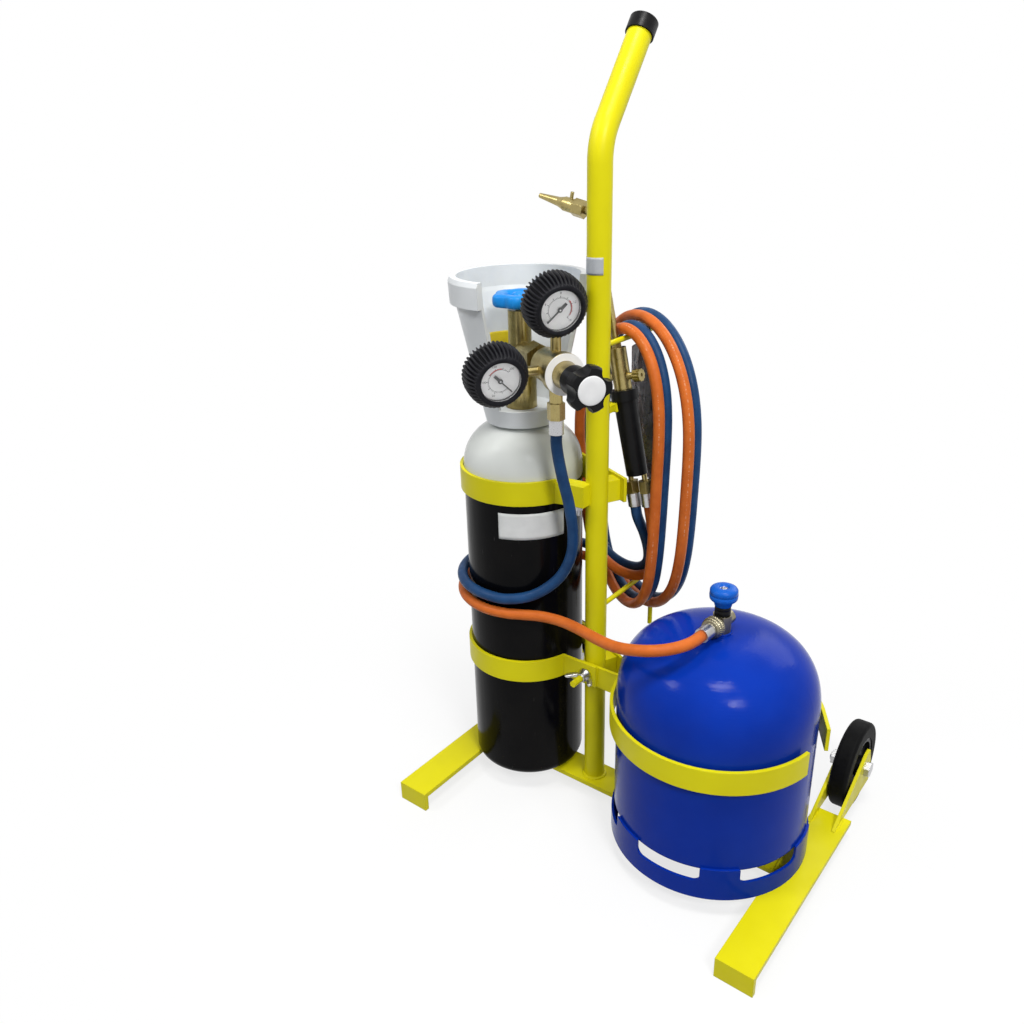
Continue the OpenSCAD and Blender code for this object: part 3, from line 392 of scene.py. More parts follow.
def hose_rubber(name, light, dark, dust, mark, strong):
    """Cloth-wrapped rubber hose: a fine wrap pattern, worn bloom, and one broken line along it."""
    look = Look(name, Specular_IOR_Level=0.18)
    run = look.add("SeparateXYZ", {0: look.add("UVMap", uv_map="run").outputs[0]})
    round_it, along = run.outputs["X"], run.outputs["Y"]
    tone = look.drift(light, dark, 45, 5)
    bloom = look.span(look.noise(260, 5, 0.7), 0.0, 0.3, 0.5, 0.8)
    tone = look.mix(bloom, tone, dust)
    off_line = look.math("ABSOLUTE", look.math("SUBTRACT", round_it, 0.30))
    line = look.math("LESS_THAN", off_line, 0.016)
    far = look.add("CombineXYZ", {"X": along}).outputs[0]
    dash = look.span(look.noise(230, 2, 0.6, far), 0.0, 1.0, 0.50, 0.54)
    groups = look.span(look.noise(9, 1, 0.5, far), 0.0, strong, 0.46, 0.52)
    worn = look.span(look.noise(900, 3), 0.25, 1.0, 0.35, 0.6)
    ink = look.math("MULTIPLY", look.math("MULTIPLY", line, dash), look.math("MULTIPLY", groups, worn))
    look.feed("Base Color", look.mix(ink, tone, mark))
    look.roughen(90, 4, 0.38, 0.55)
    slant = look.math("ADD", along, look.math("MULTIPLY", round_it, 0.004))
    look.bump(look.math("SINE", look.math("MULTIPLY", slant, 4200.0)), 0.12, 0.0001)
    look.bump(look.noise(700, 3), 0.2, 0.0002)
    return look.mat


def film(name):
    """Crinkled plastic film of a spares bag, with painted sheen lighter where the folds rise and painted glints on the
    crinkle facets.
    """
    look = Look(name, Coat_Weight=0.5, Coat_Roughness=0.12, Transmission_Weight=0.12)
    fold = look.noise(46, 6, 0.62)
    # Painted sheen: the film's colour lightens where the fold noise, which also raises the bump, is high
    tone = look.mix(look.span(fold, 0.0, 1.0, 0.35, 0.65), (0.030, 0.031, 0.040), (0.10, 0.10, 0.125))
    facets = look.cells(75, look.place((1, 1, 0.6)))
    # Painted glints: lighter spots at the middle of each crinkle facet
    painted_glint = look.span(facets, 1.0, 0.0, 0.02, 0.12)
    look.feed("Base Color", look.mix(look.math("MULTIPLY", painted_glint, 0.5), tone, (0.36, 0.36, 0.42)))
    look.roughen(80, 4, 0.18, 0.42)
    look.bump(fold, 0.6, 0.003)
    look.bump(facets, 0.35, 0.0012)
    return look.mat


def card(name, light, dark, rough=0.45):
    """Printed card or label stock, slightly uneven."""
    look = Look(name)
    look.feed("Base Color", look.drift(light, dark, 60, 4))
    look.roughen(140, 4, rough - 0.06, rough + 0.08)
    look.bump(look.noise(1800, 3), 0.12, 0.0001)
    return look.mat


def clear(name):
    """Gauge glass with fine wipe marks."""
    look = Look(name, Base_Color=(1, 1, 1, 1), Transmission_Weight=1.0, IOR=1.45)
    wipe = look.streaks((260, 2400, 900), (0.3, 0.2, 0.6), detail=4)
    look.feed("Roughness", look.span(wipe, 0.0, 0.05, 0.5, 0.85))
    look.bump(wipe, 0.02, 0.0001)
    return look.mat


YELLOW = painted("yellow_paint", (0.76, 0.695, 0.006), (0.69, 0.62, 0.005), rough=0.36,
                 chip=(0.44, 0.40, 0.10), gloss=0.16)
FUEL_BLUE = painted("fuel_blue_paint", (0.003, 0.034, 0.37), (0.002, 0.027, 0.31), rough=0.15,
                    chip=(0.02, 0.045, 0.19), gloss=0.06, peel=420, peel_depth=0.0003)
OXYGEN = two_tone_paint("oxygen_paint", 0.419)
GUARD = plastic("guard_plastic", (0.74, 0.765, 0.78), (0.68, 0.705, 0.72), rough=0.42,
                scuff=(0.42, 0.42, 0.43), gloss=0.4, grain=1500, depth=0.00012, coat=0.1)
BRASS = metal("brass", (0.40, 0.325, 0.135), (0.20, 0.155, 0.06), rough=0.30)
DULL_BRASS = metal("dull_brass", (0.27, 0.245, 0.17), (0.14, 0.12, 0.075), rough=0.34)
STEEL = metal("zinc_steel", (0.52, 0.52, 0.53), (0.31, 0.30, 0.28), rough=0.32,
              marks=(900, 900, 900), tarnish=0.5)
BLACK = plastic("black_plastic", (0.004, 0.004, 0.0045), (0.007, 0.007, 0.0075), rough=0.36,
                scuff=(0.035, 0.035, 0.035), gloss=0.12, grain=1900)
SKY = plastic("blue_plastic", (0.014, 0.28, 0.74), (0.009, 0.22, 0.64), rough=0.34,
              scuff=(0.16, 0.36, 0.68), gloss=0.2, grain=1600)
KNOB_BLUE = plastic("knob_blue", (0.005, 0.110, 0.53), (0.003, 0.085, 0.45), rough=0.34,
                    scuff=(0.10, 0.26, 0.58), gloss=0.16, grain=1600)
TYRE = rubber("tyre_rubber", (0.003, 0.003, 0.0033), (0.005, 0.005, 0.0053), rough=0.58,
              dust=(0.009, 0.0088, 0.0083), gloss=0.06, ridges=(700, 90, 90))
BOOT = rubber("boot_rubber", (0.005, 0.005, 0.007), (0.009, 0.009, 0.012), rough=0.42,
              dust=(0.018, 0.018, 0.022), gloss=0.14)
CASE = plastic("gauge_case", (0.010, 0.010, 0.011), (0.016, 0.016, 0.017), rough=0.35,
               scuff=(0.08, 0.08, 0.08), gloss=0.25, grain=2000, depth=0.00006)
INK = card("black_ink", (0.010, 0.010, 0.011), (0.022, 0.022, 0.023), 0.4)
RED_INK = card("red_ink", (0.55, 0.035, 0.03), (0.46, 0.03, 0.03), 0.4)
WHITE = card("white_card", (0.83, 0.83, 0.83), (0.78, 0.78, 0.78))
LABEL = card("label_stock", (0.74, 0.75, 0.74), (0.68, 0.69, 0.68), 0.38)
SILVER_LABEL = card("silver_label", (0.42, 0.44, 0.46), (0.33, 0.35, 0.38), 0.32)
YELLOW_LABEL = card("yellow_label", (0.78, 0.60, 0.012), (0.70, 0.53, 0.010), 0.38)
LENS = clear("gauge_glass")
BLUE_HOSE = hose_rubber("blue_hose", (0.011, 0.058, 0.165), (0.008, 0.040, 0.118),
                        dust=(0.036, 0.085, 0.17), mark=(0.55, 0.60, 0.64), strong=0.6)
ORANGE_HOSE = hose_rubber("orange_hose", (0.64, 0.150, 0.022), (0.53, 0.115, 0.016),
                          dust=(0.66, 0.21, 0.05), mark=(0.80, 0.60, 0.40), strong=0.4)
FILM = film("pouch_film")

SLOT_LOOKS = {
    "frame_paint": YELLOW, "zinc_steel": STEEL, "black_plastic": BLACK, "tyre_rubber": TYRE,
    "oxygen_paint": OXYGEN, "guard_plastic": GUARD, "brass": BRASS, "blue_plastic": SKY, "white_card": WHITE,
    "boot_rubber": BOOT, "gauge_steel": CASE, "needle_paint": INK, "lens": LENS, "fuel_paint": FUEL_BLUE,
    "blue_hose": BLUE_HOSE, "orange_hose": ORANGE_HOSE, "pouch_film": FILM,
}
# Nodes that differ from the rest of their slot
NODE_LOOKS = {"fuel_valve": DULL_BRASS}


def dress_cad_nodes():
    """Every CAD node takes the look of its material slot in the record."""
    for part in frame["record"]["subparts"]:
        data = NODES[part["node"]].data
        data.materials.clear()
        data.materials.append(NODE_LOOKS.get(part["node"], SLOT_LOOKS[part["material_slot"]]))


# Pieces
PATH_STEPS = 24


def piece(name, verts, faces, look, slot, body="cart", smooth=True, looks=(), picks=()):
    """A mesh piece in the part frame that rides on a body; looks and picks add materials by face."""
    mesh = bpy.data.meshes.new(name)
    mesh.from_pydata([tuple(v) for v in verts], [], faces)
    for m in (look, *looks):
        mesh.materials.append(m)
    mesh.polygons.foreach_set("use_smooth", [smooth] * len(mesh.polygons))
    if picks:
        mesh.polygons.foreach_set("material_index", picks)
    mesh.validate()
    mesh.update()
    obj = bpy.data.objects.new(name, mesh)
    bpy.context.scene.collection.objects.link(obj)
    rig.ride(obj, body)
    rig.slot(obj, slot)
    return obj


def join(*parts):
    """One list of vertices and one of faces from several."""
    verts, faces = [], []
    for part_verts, part_faces in parts:
        base = len(verts)
        verts.extend(part_verts)
        faces.extend(tuple(base + i for i in f) for f in part_faces)
    return verts, faces


def circle(count):
    """Angles at even spacing round a full turn."""
    return [2 * math.pi * i / count for i in range(count)]


def smooth_path(points, step):
    """A centripetal Catmull-Rom curve through the points at even spacing, and its length."""
    ends = [points[0] * 2 - points[1], *points, points[-1] * 2 - points[-2]]
    fine = []
    for p0, p1, p2, p3 in zip(ends, ends[1:], ends[2:], ends[3:]):
        t0 = 0.0
        t1 = t0 + math.sqrt((p1 - p0).length)
        t2 = t1 + math.sqrt((p2 - p1).length)
        t3 = t2 + math.sqrt((p3 - p2).length)
        for k in range(PATH_STEPS):
            t = t1 + (t2 - t1) * k / PATH_STEPS
            a1 = p0 * ((t1 - t) / (t1 - t0)) + p1 * ((t - t0) / (t1 - t0))
            a2 = p1 * ((t2 - t) / (t2 - t1)) + p2 * ((t - t1) / (t2 - t1))
            a3 = p2 * ((t3 - t) / (t3 - t2)) + p3 * ((t - t2) / (t3 - t2))
            b1 = a1 * ((t2 - t) / (t2 - t0)) + a2 * ((t - t0) / (t2 - t0))
            b2 = a2 * ((t3 - t) / (t3 - t1)) + a3 * ((t - t1) / (t3 - t1))
            fine.append(b1 * ((t2 - t) / (t2 - t1)) + b2 * ((t - t1) / (t2 - t1)))
    fine.append(points[-1])
    runs = [0.0]
    for a, b in zip(fine, fine[1:]):
        runs.append(runs[-1] + (b - a).length)
    count = max(2, round(runs[-1] / step))
    out, i = [], 0
    for k in range(count + 1):
        want = runs[-1] * k / count
        while i < len(runs) - 2 and runs[i + 1] < want:
            i += 1
        share = (want - runs[i]) / max(runs[i + 1] - runs[i], 1e-12)
        out.append(fine[i].lerp(fine[i + 1], share))
    return out, runs[-1]


def tube(path, radius, sides, closed=False):
    """Vertices, faces and (round, along) texture places of a tube that follows path.

    radius is a number, or a function of the length so far and the number of the point.
    """
    verts, faces, places = [], [], []
    side, run = None, 0.0
    count = len(path)
    for i, p in enumerate(path):
        before = path[i - 1] if closed else path[max(i - 1, 0)]
        after = path[(i + 1) % count] if closed else path[min(i + 1, count - 1)]
        way = (after - before).normalized()
        if side is None:
            side = way.cross(Vector((0, 0, 1)) if abs(way.z) < 0.9 else Vector((1, 0, 0)))
        side = (side - way * side.dot(way)).normalized()
        other = way.cross(side)
        if i:
            run += (p - path[i - 1]).length
        r = radius(run, i) if callable(radius) else radius
        for k, a in enumerate(circle(sides)):
            verts.append(p + (side * math.cos(a) + other * math.sin(a)) * r)
            places.append((k / sides, run))
    for i in range(count if closed else count - 1):
        here, there = i * sides, (i + 1) % count * sides
        for k in range(sides):
            n = (k + 1) % sides
            faces.append((here + k, here + n, there + n, there + k))
    if not closed:
        faces.append(tuple(reversed(range(sides))))
        faces.append(tuple(range((count - 1) * sides, count * sides)))
    return verts, faces, places


# Hoses: the routes of part.scad, in millimetres from the mast's foot
HOSE_D = 12.5
HOSE_STEP, HOSE_SIDES = 0.004, 20
OXYGEN_LANE, FUEL_LANE = 16.0, 0.0
COIL_FROM, COIL_TO, COIL_STEP = 270, 855, 15
COIL_FRONT = 810
COIL_X, COIL_Y, COIL_Z = -5, 57, 418.7
COIL_WIDE, COIL_NARROWS = 107, 33
COIL_TALL, COIL_GROWS = 171, 8
COIL_PITCH = 32
COIL_SQUARE = 6
COIL_TILT, COIL_YAW = math.radians(-3.7), math.radians(30)
WRAP_GAP = 2.2
WRAP_FROM, WRAP_SWEEP, WRAP_COUNT = -70, 150, 8
OXYGEN_WRAP_Z, FUEL_WRAP_Z = 288, 269
REG_HOSE_T, REG_HOSE_Z = 105, 497
FUEL_HOSE_R = 40
TORCH_HOSE_X, TORCH_HOSE_Z = 9, -136


def coil_point(turn, lane):
    """A point of the coil at a turn in degrees: a long loop that narrows and comes forward turn by turn."""
    t, behind = math.radians(turn), (COIL_FRONT - turn) / 360
    wide = COIL_WIDE - COIL_NARROWS * (turn - 360) / 360
    tall = COIL_TALL + COIL_GROWS * behind
    side = wide * math.cos(t)
    stretch = math.sin(t) * (1 + COIL_SQUARE) / (1 + COIL_SQUARE * abs(math.sin(t)))
    rise = wide * math.sin(t) + (tall - wide) * stretch
    w = side * math.cos(COIL_TILT) - rise * math.sin(COIL_TILT)
    h = side * math.sin(COIL_TILT) + rise * math.cos(COIL_TILT)
    y = COIL_Y + lane + COIL_PITCH * behind - w * math.sin(COIL_YAW)
    return Vector((COIL_X + w * math.cos(COIL_YAW), y, COIL_Z + h))


def coil_route(lane):
    """The coil, with a straight lead of two diameters at each end."""
    def off(turn, count):
        way = (coil_point(turn + 0.5, lane) - coil_point(turn - 0.5, lane)).normalized()
        return coil_point(turn, lane) + way * HOSE_D * count
    turns = [coil_point(t, lane) for t in range(COIL_FROM, COIL_TO + 1, COIL_STEP)]
    return [off(COIL_FROM, -2), off(COIL_FROM, -1), *turns, off(COIL_TO, 1), off(COIL_TO, 2)]


def wrap_route(z):
    """The way round the oxygen cylinder at a height, from its front to its back."""
    r = OX_R + HOSE_D / 2 + WRAP_GAP
    angles = [math.radians(WRAP_FROM - WRAP_SWEEP * i / WRAP_COUNT) for i in range(WRAP_COUNT + 1)]
    return [Vector((r * math.cos(a) + OX_X, r * math.sin(a), z)) for a in angles]


def bends(*points):
    return [Vector(p) for p in points]


def regulator_end():
    return [from_part(reg(REG_HOSE_T, 0, z - REG_Z)) for z in (REG_HOSE_Z, REG_HOSE_Z - HOSE_D)]


def fuel_end():
    c, s = math.cos(FUEL_TURN), math.sin(FUEL_TURN)
    return [Vector((FUEL_X + r * c, r * s, FUEL_OUT_Z)) for r in (FUEL_HOSE_R, FUEL_HOSE_R + HOSE_D)]


def torch_end(x):
    return [from_part(torch(x, z)) for z in (TORCH_HOSE_Z - HOSE_D, TORCH_HOSE_Z)]


OXYGEN_ROUTE = [
    *regulator_end(),
    *bends((-10, -53, 450), (-5, -47, 415), (-4, -41, 378)),
    *bends((-10, -38, 346), (-26, -41, 315), (-50, -57, 294)),
    *wrap_route(OXYGEN_WRAP_Z),
    *bends((-138, 86, 286), (-117, 118, 279), (-99, 139, 267), (-76, 148, 252)),
    *coil_route(OXYGEN_LANE),
    *bends((-62, 95, 520), (-74, 96, 488), (-78, 96, 452), (-79, 97, 415), (-79, 98, 380)),
    *bends((-77, 99, 350), (-72, 100, 322), (-61, 100.5, 300), (-43, 101, 284), (-21, 100, 278)),
    *bends((1, 95, 283), (17.5, 86, 298), (26, 74, 320), (29, 58, 350)),
    *torch_end(-TORCH_HOSE_X),
]
FUEL_ROUTE = [
    *fuel_end(),
    *bends((152.8, -64.7, 304.5), (147.2, -76.1, 304.5), (139.1, -85.8, 304), (128.8, -93.3, 303)),
    *bends((117, -97.3, 301), (99, -97.5, 296.5), (79, -91.5, 290.5), (59, -82.5, 285), (39, -73, 280.3)),
    *bends((19, -64.5, 276.6), (-1, -58.3, 273.6), (-21, -55.5, 271.2)),
    *bends((-41, -57.5, 269.5), (-59, -65, 269)),
    *wrap_route(FUEL_WRAP_Z),
    *bends((-138, 83, 267), (-113, 114, 262), (-94, 129, 255), (-71, 134, 246)),
    *coil_route(FUEL_LANE),
    *bends((-62, 79, 520), (-74, 78, 488), (-76, 77, 452), (-74, 79, 415), (-72, 81, 376)),
    *bends((-68, 82.5, 340), (-61, 83, 311), (-45, 83.5, 289), (-22, 83, 277.5), (3, 81, 277.5)),
    *bends((25, 77, 289), (38, 71, 307), (43, 62.5, 331), (43, 53, 357)),
    *torch_end(TORCH_HOSE_X),
]


def make_hose(name, route, look, slot, nodes):
    path, length = smooth_path([at(*p) for p in route], HOSE_STEP)
    verts, faces, places = tube(path, HOSE_D / 2000, HOSE_SIDES)
    hose = piece(name, verts, faces, look, slot)
    layer = hose.data.uv_layers.new(name="run")
    for face in hose.data.polygons:
        rows = [places[hose.data.loops[i].vertex_index] for i in face.loop_indices]
        # The last face of each turn runs on to 1 and doesn't fold back to 0
        last = max(r[0] for r in rows) > 0.9
        for i, (turn, run) in zip(face.loop_indices, rows):
            layer.data[i].uv = (turn + 1 if last and turn < 0.5 else turn, run)
    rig.replaces(hose, *nodes)
    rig.cord(hose, exit=path[0], length=round(length, 3), diameter=HOSE_D / 1000, far_end="object",
            stiffness="medium", lay="coiled", path=path)


# Gauges: place across and above the regulator's axis, and the turn of the dial in degrees
GAUGES = {"contents": (-61.6, -1.0, 90.0), "outlet": (3.2, 63.7, 0.0)}
GAUGE_MID = 94.0
GAUGE_PITCH = math.radians(11.5)
DIAL_PRINT = 108.76
DIAL_START, DIAL_SWEEP = 225, 270.0
DIAL_MARKS, DIAL_GROUP, DIAL_STEPS = 40, 5, 48
SCALE_ARC, RED_BAND = (11.8, 12.1), (12.3, 13.5)
TICK_FROM = 12
LONG_TICK, SHORT_TICK = (14.4, 0.3), (13.3, 0.15)
FIGURE_SIZE, FIGURE_R = 3.5, 17


def gauge(name, t, y, z):
    """A point of a gauge: t outwards along its own axis, which leans down from the regulator's."""
    y0, z0, _ = GAUGES[name]
    c, s = math.cos(GAUGE_PITCH), math.sin(GAUGE_PITCH)
    out = t - GAUGE_MID
    return reg(GAUGE_MID + out * c + z * s, y0 + y, z0 - out * s + z * c)


def dial_angle(share, turn):
    """Angle on a dial, anticlockwise from the right seen from the front, for a share of the scale."""
    return math.radians(DIAL_START + turn - DIAL_SWEEP * share)


def figure(text, size):
    """Flat mesh of a number, centred on the origin in x and y."""
    data = bpy.data.curves.new("figure", "FONT")
    data.body, data.size = text, size
    data.align_x, data.align_y = "CENTER", "CENTER"
    data.resolution_u = 2
    obj = bpy.data.objects.new("figure", data)
    bpy.context.scene.collection.objects.link(obj)
    mesh = bpy.data.meshes.new_from_object(obj.evaluated_get(bpy.context.evaluated_depsgraph_get()))
    bpy.data.objects.remove(obj)
    verts, faces = [v.co.copy() for v in mesh.vertices], [tuple(p.vertices) for p in mesh.polygons]
    bpy.data.meshes.remove(mesh)
    return verts, faces


def make_dial(name, numbers, red):
    """Printed scale of a gauge: an arc, long and short ticks, numbers and a red band."""
    turn = GAUGES[name][2]
    verts, faces, picks = [], [], []

    def flat(points, groups, pick):
        base = len(verts)
        verts.extend(gauge(name, DIAL_PRINT, p[0], p[1]) for p in points)
        faces.extend(tuple(base + i for i in g) for g in groups)
        picks.extend([pick] * len(groups))

    def arc(radii, start, end, pick):
        angles = [dial_angle(start + (end - start) * i / DIAL_STEPS, turn) for i in range(DIAL_STEPS + 1)]
        points = [(r * math.cos(a), r * math.sin(a)) for a in angles for r in radii]
        flat(points, [(2 * i, 2 * i + 2, 2 * i + 3, 2 * i + 1) for i in range(DIAL_STEPS)], pick)

    arc(SCALE_ARC, 0, 1, 0)
    arc(RED_BAND, *red, 1)
    for i in range(DIAL_MARKS + 1):
        a = dial_angle(i / DIAL_MARKS, turn)
        out, side = Vector((math.cos(a), math.sin(a))), Vector((-math.sin(a), math.cos(a)))
        tip, half = SHORT_TICK if i % DIAL_GROUP else LONG_TICK
        inner, outer, edge = out * TICK_FROM, out * tip, side * half
        flat([inner - edge, outer - edge, outer + edge, inner + edge], [(0, 1, 2, 3)], 0)
    for i, text in enumerate(numbers):
        a = dial_angle(i / (len(numbers) - 1), turn)
        points, groups = figure(text, FIGURE_SIZE)
        flat([(p.x + FIGURE_R * math.cos(a), p.y + FIGURE_R * math.sin(a)) for p in points], groups, 0)
    piece(name + "_dial_print", verts, faces, INK, "needle_paint", smooth=False,
          looks=(RED_INK,), picks=picks)


# Thickness of a label in metres, and its distance from the wall in millimetres
LABEL_THICK, LABEL_OFF = 0.0003, 0.05
LABEL_COLS, LABEL_ROWS = 28, 8
# Angles in degrees and heights of each label
CYLINDER_LABEL = ((-77, -12), (361, 393))
GUARD_LABEL = ((167, 118), (557, 575))
MAST_LABEL = ((-150, -37), (655, 672))
# Station and radius on the pressure knob, from the middle of its disc to the rim
DISC_ROWS = ((194.7, 7.0), (194.6, 13.4), (194.3, 14.2), (193.8, 14.4))
DISC_SIDES = 48


def on_wall(axis_x, r, angles, heights, slope=0.0):
    """Grid of points on an upright cylinder, or on a cone whose radius grows upwards by slope."""
    (a0, a1), (z0, z1) = angles, heights
    turns = [math.radians(a0 + (a1 - a0) * i / LABEL_COLS) for i in range(LABEL_COLS + 1)]
    grid = []
    for j in range(LABEL_ROWS + 1):
        z = z0 + (z1 - z0) * j / LABEL_ROWS
        wall = r + slope * (z - z0)
        grid.append([at(axis_x + wall * math.cos(a), wall * math.sin(a), z) for a in turns])
    return grid


def patch(name, grid, look, slot):
    """A thin label from a grid of part-frame points, thickened along its normals."""
    rows, cols = len(grid), len(grid[0])
    verts = [p for row in grid for p in row]
    faces = [(r * cols + c, r * cols + c + 1, (r + 1) * cols + c + 1, (r + 1) * cols + c)
             for r in range(rows - 1) for c in range(cols - 1)]
    solid = piece(name, verts, faces, look, slot).modifiers.new("thickness", "SOLIDIFY")
    solid.thickness, solid.offset = LABEL_THICK, 1.0


def make_labels():
    """Blank labels where the real cart carries printed ones."""
    patch("cylinder_label", on_wall(OX_X, OX_R + LABEL_OFF, *CYLINDER_LABEL), LABEL, "white_card")
    slope = (GUARD_TOP_R - GUARD_FOOT_R) / (GUARD_TOP_Z - GUARD_FOOT_Z)
    inside = GUARD_FOOT_R + slope * (GUARD_LABEL[1][0] - GUARD_FOOT_Z) - LABEL_OFF
    patch("guard_label", on_wall(OX_X, inside, *GUARD_LABEL, slope), YELLOW_LABEL, "frame_paint")
    patch("mast_label", on_wall(0, MAST_R + LABEL_OFF, *MAST_LABEL), SILVER_LABEL, "white_card")


def make_knob_disc():
    """Blank white disc on the end of the pressure knob."""
    n = DISC_SIDES
    verts = [reg(DISC_ROWS[0][0], 0, 0)]
    for t, r in DISC_ROWS:
        verts.extend(reg(t, r * math.cos(a), r * math.sin(a)) for a in circle(n))
    faces = [(0, 1 + i, 1 + (i + 1) % n) for i in range(n)]
    for k in range(len(DISC_ROWS) - 1):
        a, b = 1 + k * n, 1 + (k + 1) * n
        faces.extend((a + i, b + i, b + (i + 1) % n, a + (i + 1) % n) for i in range(n))
    piece("knob_disc", verts, faces, WHITE, "white_card", "adjusting_knob")


# Turned pieces
def lathe(profile, place, count, shape=None, closed=False):
    """Vertices and faces of a turned shape with flat ends, or of a ring where the profile is closed.

    profile holds (along, radius) pairs, place(along, u, v) gives the part-frame point, and
    shape(row, angle) is taken off the radius.
    """
    verts, faces = [], []
    for row, (along, r) in enumerate(profile):
        for a in circle(count):
            q = r - shape(row, a) if shape else r
            verts.append(place(along, q * math.cos(a), q * math.sin(a)))
    rows = len(profile)
    for row in range(rows if closed else rows - 1):
        here, there = row * count, (row + 1) % rows * count
        for i in range(count):
            n = (i + 1) % count
            faces.append((here + i, here + n, there + n, there + i))
    if not closed:
        faces.append(tuple(reversed(range(count))))
        faces.append(tuple(range((rows - 1) * count, rows * count)))
    return verts, faces


BOOT_RIBS, RIB_SIDES = 44, 8
# Share of a rib's wave that stays at full height, and the share over which its flank falls
RIB_TOP, RIB_FLANK = 0.22, 0.5
# Station along the gauge, radius over the ribs and groove depth, from the back lip round to the inside
BOOT_ROWS = (
    (82.0, 22.0, 0.0), (82.0, 28.6, 0.6), (82.7, 31.2, 2.6), (84.6, 32.7, 4.2), (88.0, 33.2, 5.0),
    (98.5, 33.2, 5.0), (102.5, 32.8, 4.8), (106.0, 31.7, 4.4), (109.0, 30.1, 3.4), (111.4, 28.5, 2.0),
    (113.0, 27.2, 0.7), (113.9, 26.3, 0.0), (114.5, 25.2, 0.0), (114.4, 23.4, 0.0), (113.9, 21.7, 0.0),
    (113.3, 21.1, 0.0), (113.3, 25.3, 0.0), (83.7, 25.3, 0.0), (83.7, 22.0, 0.0),
)


def make_boots():
    """Ribbed rubber boots of the two gauges: the ribs run round to a smooth collar at the dial."""
    def groove(row, a):
        wave = 0.5 - 0.5 * math.cos(BOOT_RIBS * a)
        return BOOT_ROWS[row][2] * ease(min(1.0, max(0.0, (wave - RIB_TOP) / RIB_FLANK)))

    def boot(name):
        def place(along, u, v):
            return gauge(name, along, u, v)
        profile = [(along, r) for along, r, _ in BOOT_ROWS]
        return lathe(profile, place, BOOT_RIBS * RIB_SIDES, groove, closed=True)
    boots = piece("ribbed_boots", *join(*map(boot, GAUGES)), BOOT, "boot_rubber")
    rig.replaces(boots, "gauge_boots")


WHEEL_LOBES, WHEEL_SIDES, RIM_SIDES, HUB_SIDES = 6, 96, 18, 40
# Radius between the lobes and what a lobe adds, outside and inside the rim
RIM_OUTER, RIM_INNER = (25.6, 5.2), (14.0, 0.8)
LOBE_POWER, RIM_POWER_R, RIM_POWER_Z = 0.7, 0.72, 0.62
WHEEL_SKIN = 0.2
SPOKES, SPOKE_TURN, SPOKE_SIDES, SPOKE_STEPS = 3, 40, 20, 12
SPOKE_FROM, SPOKE_RISE, SPOKE_DROP = 5.5, 0.4, 0.05
SPOKE_R, SPOKE_WAIST = 4.9, 0.9


def squared(value, power):
    """A sine or cosine flattened by a power, with its sign kept."""
    return math.copysign(abs(value) ** power, value)


def make_handwheel():
    """Handwheel of the oxygen valve: a fat rim with six lobes, three spokes and a hub."""
    low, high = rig.box("oxygen_handwheel")
    middle, half = (low.z + high.z) * 500, (high.z - low.z) * 500
    bottom, top = middle - half, middle + half

    def place(z, u, v):
        return at(OX_X + u, v, z)

    def spoke_radius(_, k):
        return (SPOKE_R - SPOKE_WAIST * math.sin(math.pi * k / SPOKE_STEPS)) / 1000

    verts, faces = [], []
    for a in circle(WHEEL_SIDES):
        bulge = 0.5 + 0.5 * math.cos(WHEEL_LOBES * a)
        outer = RIM_OUTER[0] + RIM_OUTER[1] * bulge ** LOBE_POWER
        inner = RIM_INNER[0] + RIM_INNER[1] * bulge
        for b in circle(RIM_SIDES):
            r = (outer + inner) / 2 + (outer - inner) / 2 * squared(math.cos(b), RIM_POWER_R)
            z = middle + (half - WHEEL_SKIN) * squared(math.sin(b), RIM_POWER_Z)
            verts.append(place(z, r * math.cos(a), r * math.sin(a)))
    for i in range(WHEEL_SIDES):
        here, there = i * RIM_SIDES, (i + 1) % WHEEL_SIDES * RIM_SIDES
        for k in range(RIM_SIDES):
            n = (k + 1) % RIM_SIDES
            faces.append((here + k, there + k, there + n, here + n))
    profile = [(bottom + 0.2, 4.1), (bottom + 0.2, 6.5), (bottom + 1.4, 7.8), (middle + 3.6, 8.2),
               (top - 2.2, 7.6), (top - 0.8, 6.2), (top - 0.3, 5.2), (top - 0.6, 4.1)]
    hub = lathe(profile, place, HUB_SIDES, closed=True)
    spokes = []
    for i in range(SPOKES):
        a = math.radians(360 / SPOKES * i + SPOKE_TURN)
        line = [place(middle + SPOKE_RISE - SPOKE_DROP * k, r * math.cos(a), r * math.sin(a))
                for k, r in enumerate(SPOKE_FROM + k for k in range(SPOKE_STEPS + 1))]
        spokes.append(tube(line, spoke_radius, SPOKE_SIDES)[:2])
    wheel = piece("lobed_handwheel", *join((verts, faces), hub, *spokes), SKY, "blue_plastic",
                  "oxygen_handwheel")
    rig.replaces(wheel, "oxygen_handwheel")


# Station from the wing nut's seat and radius of its hub
WING_HUB_ROWS = ((0.2, 4.4), (0.0, 7.2), (0.7, 7.9), (2.2, 7.9), (3.0, 7.2), (9.5, 5.9), (11.4, 5.6),
                 (12.0, 5.0), (11.7, 4.4))
WING_HUB_SIDES = 44
# Outline of a wing: distance from the axis and station along it
WING_EAR = ((4.8, 2.6), (8.0, 2.8), (12.0, 5.4), (16.0, 9.4), (18.6, 13.6), (18.9, 16.8),
            (17.4, 18.7), (14.6, 18.2), (12.0, 15.4), (9.4, 12.0), (6.8, 10.0), (4.8, 9.4))
# Place across the wing's thickness, and the size of the outline there
WING_LAYERS = ((-1.6, 0.84), (-1.0, 0.97), (0.0, 1.0), (1.0, 0.97), (1.6, 0.84))


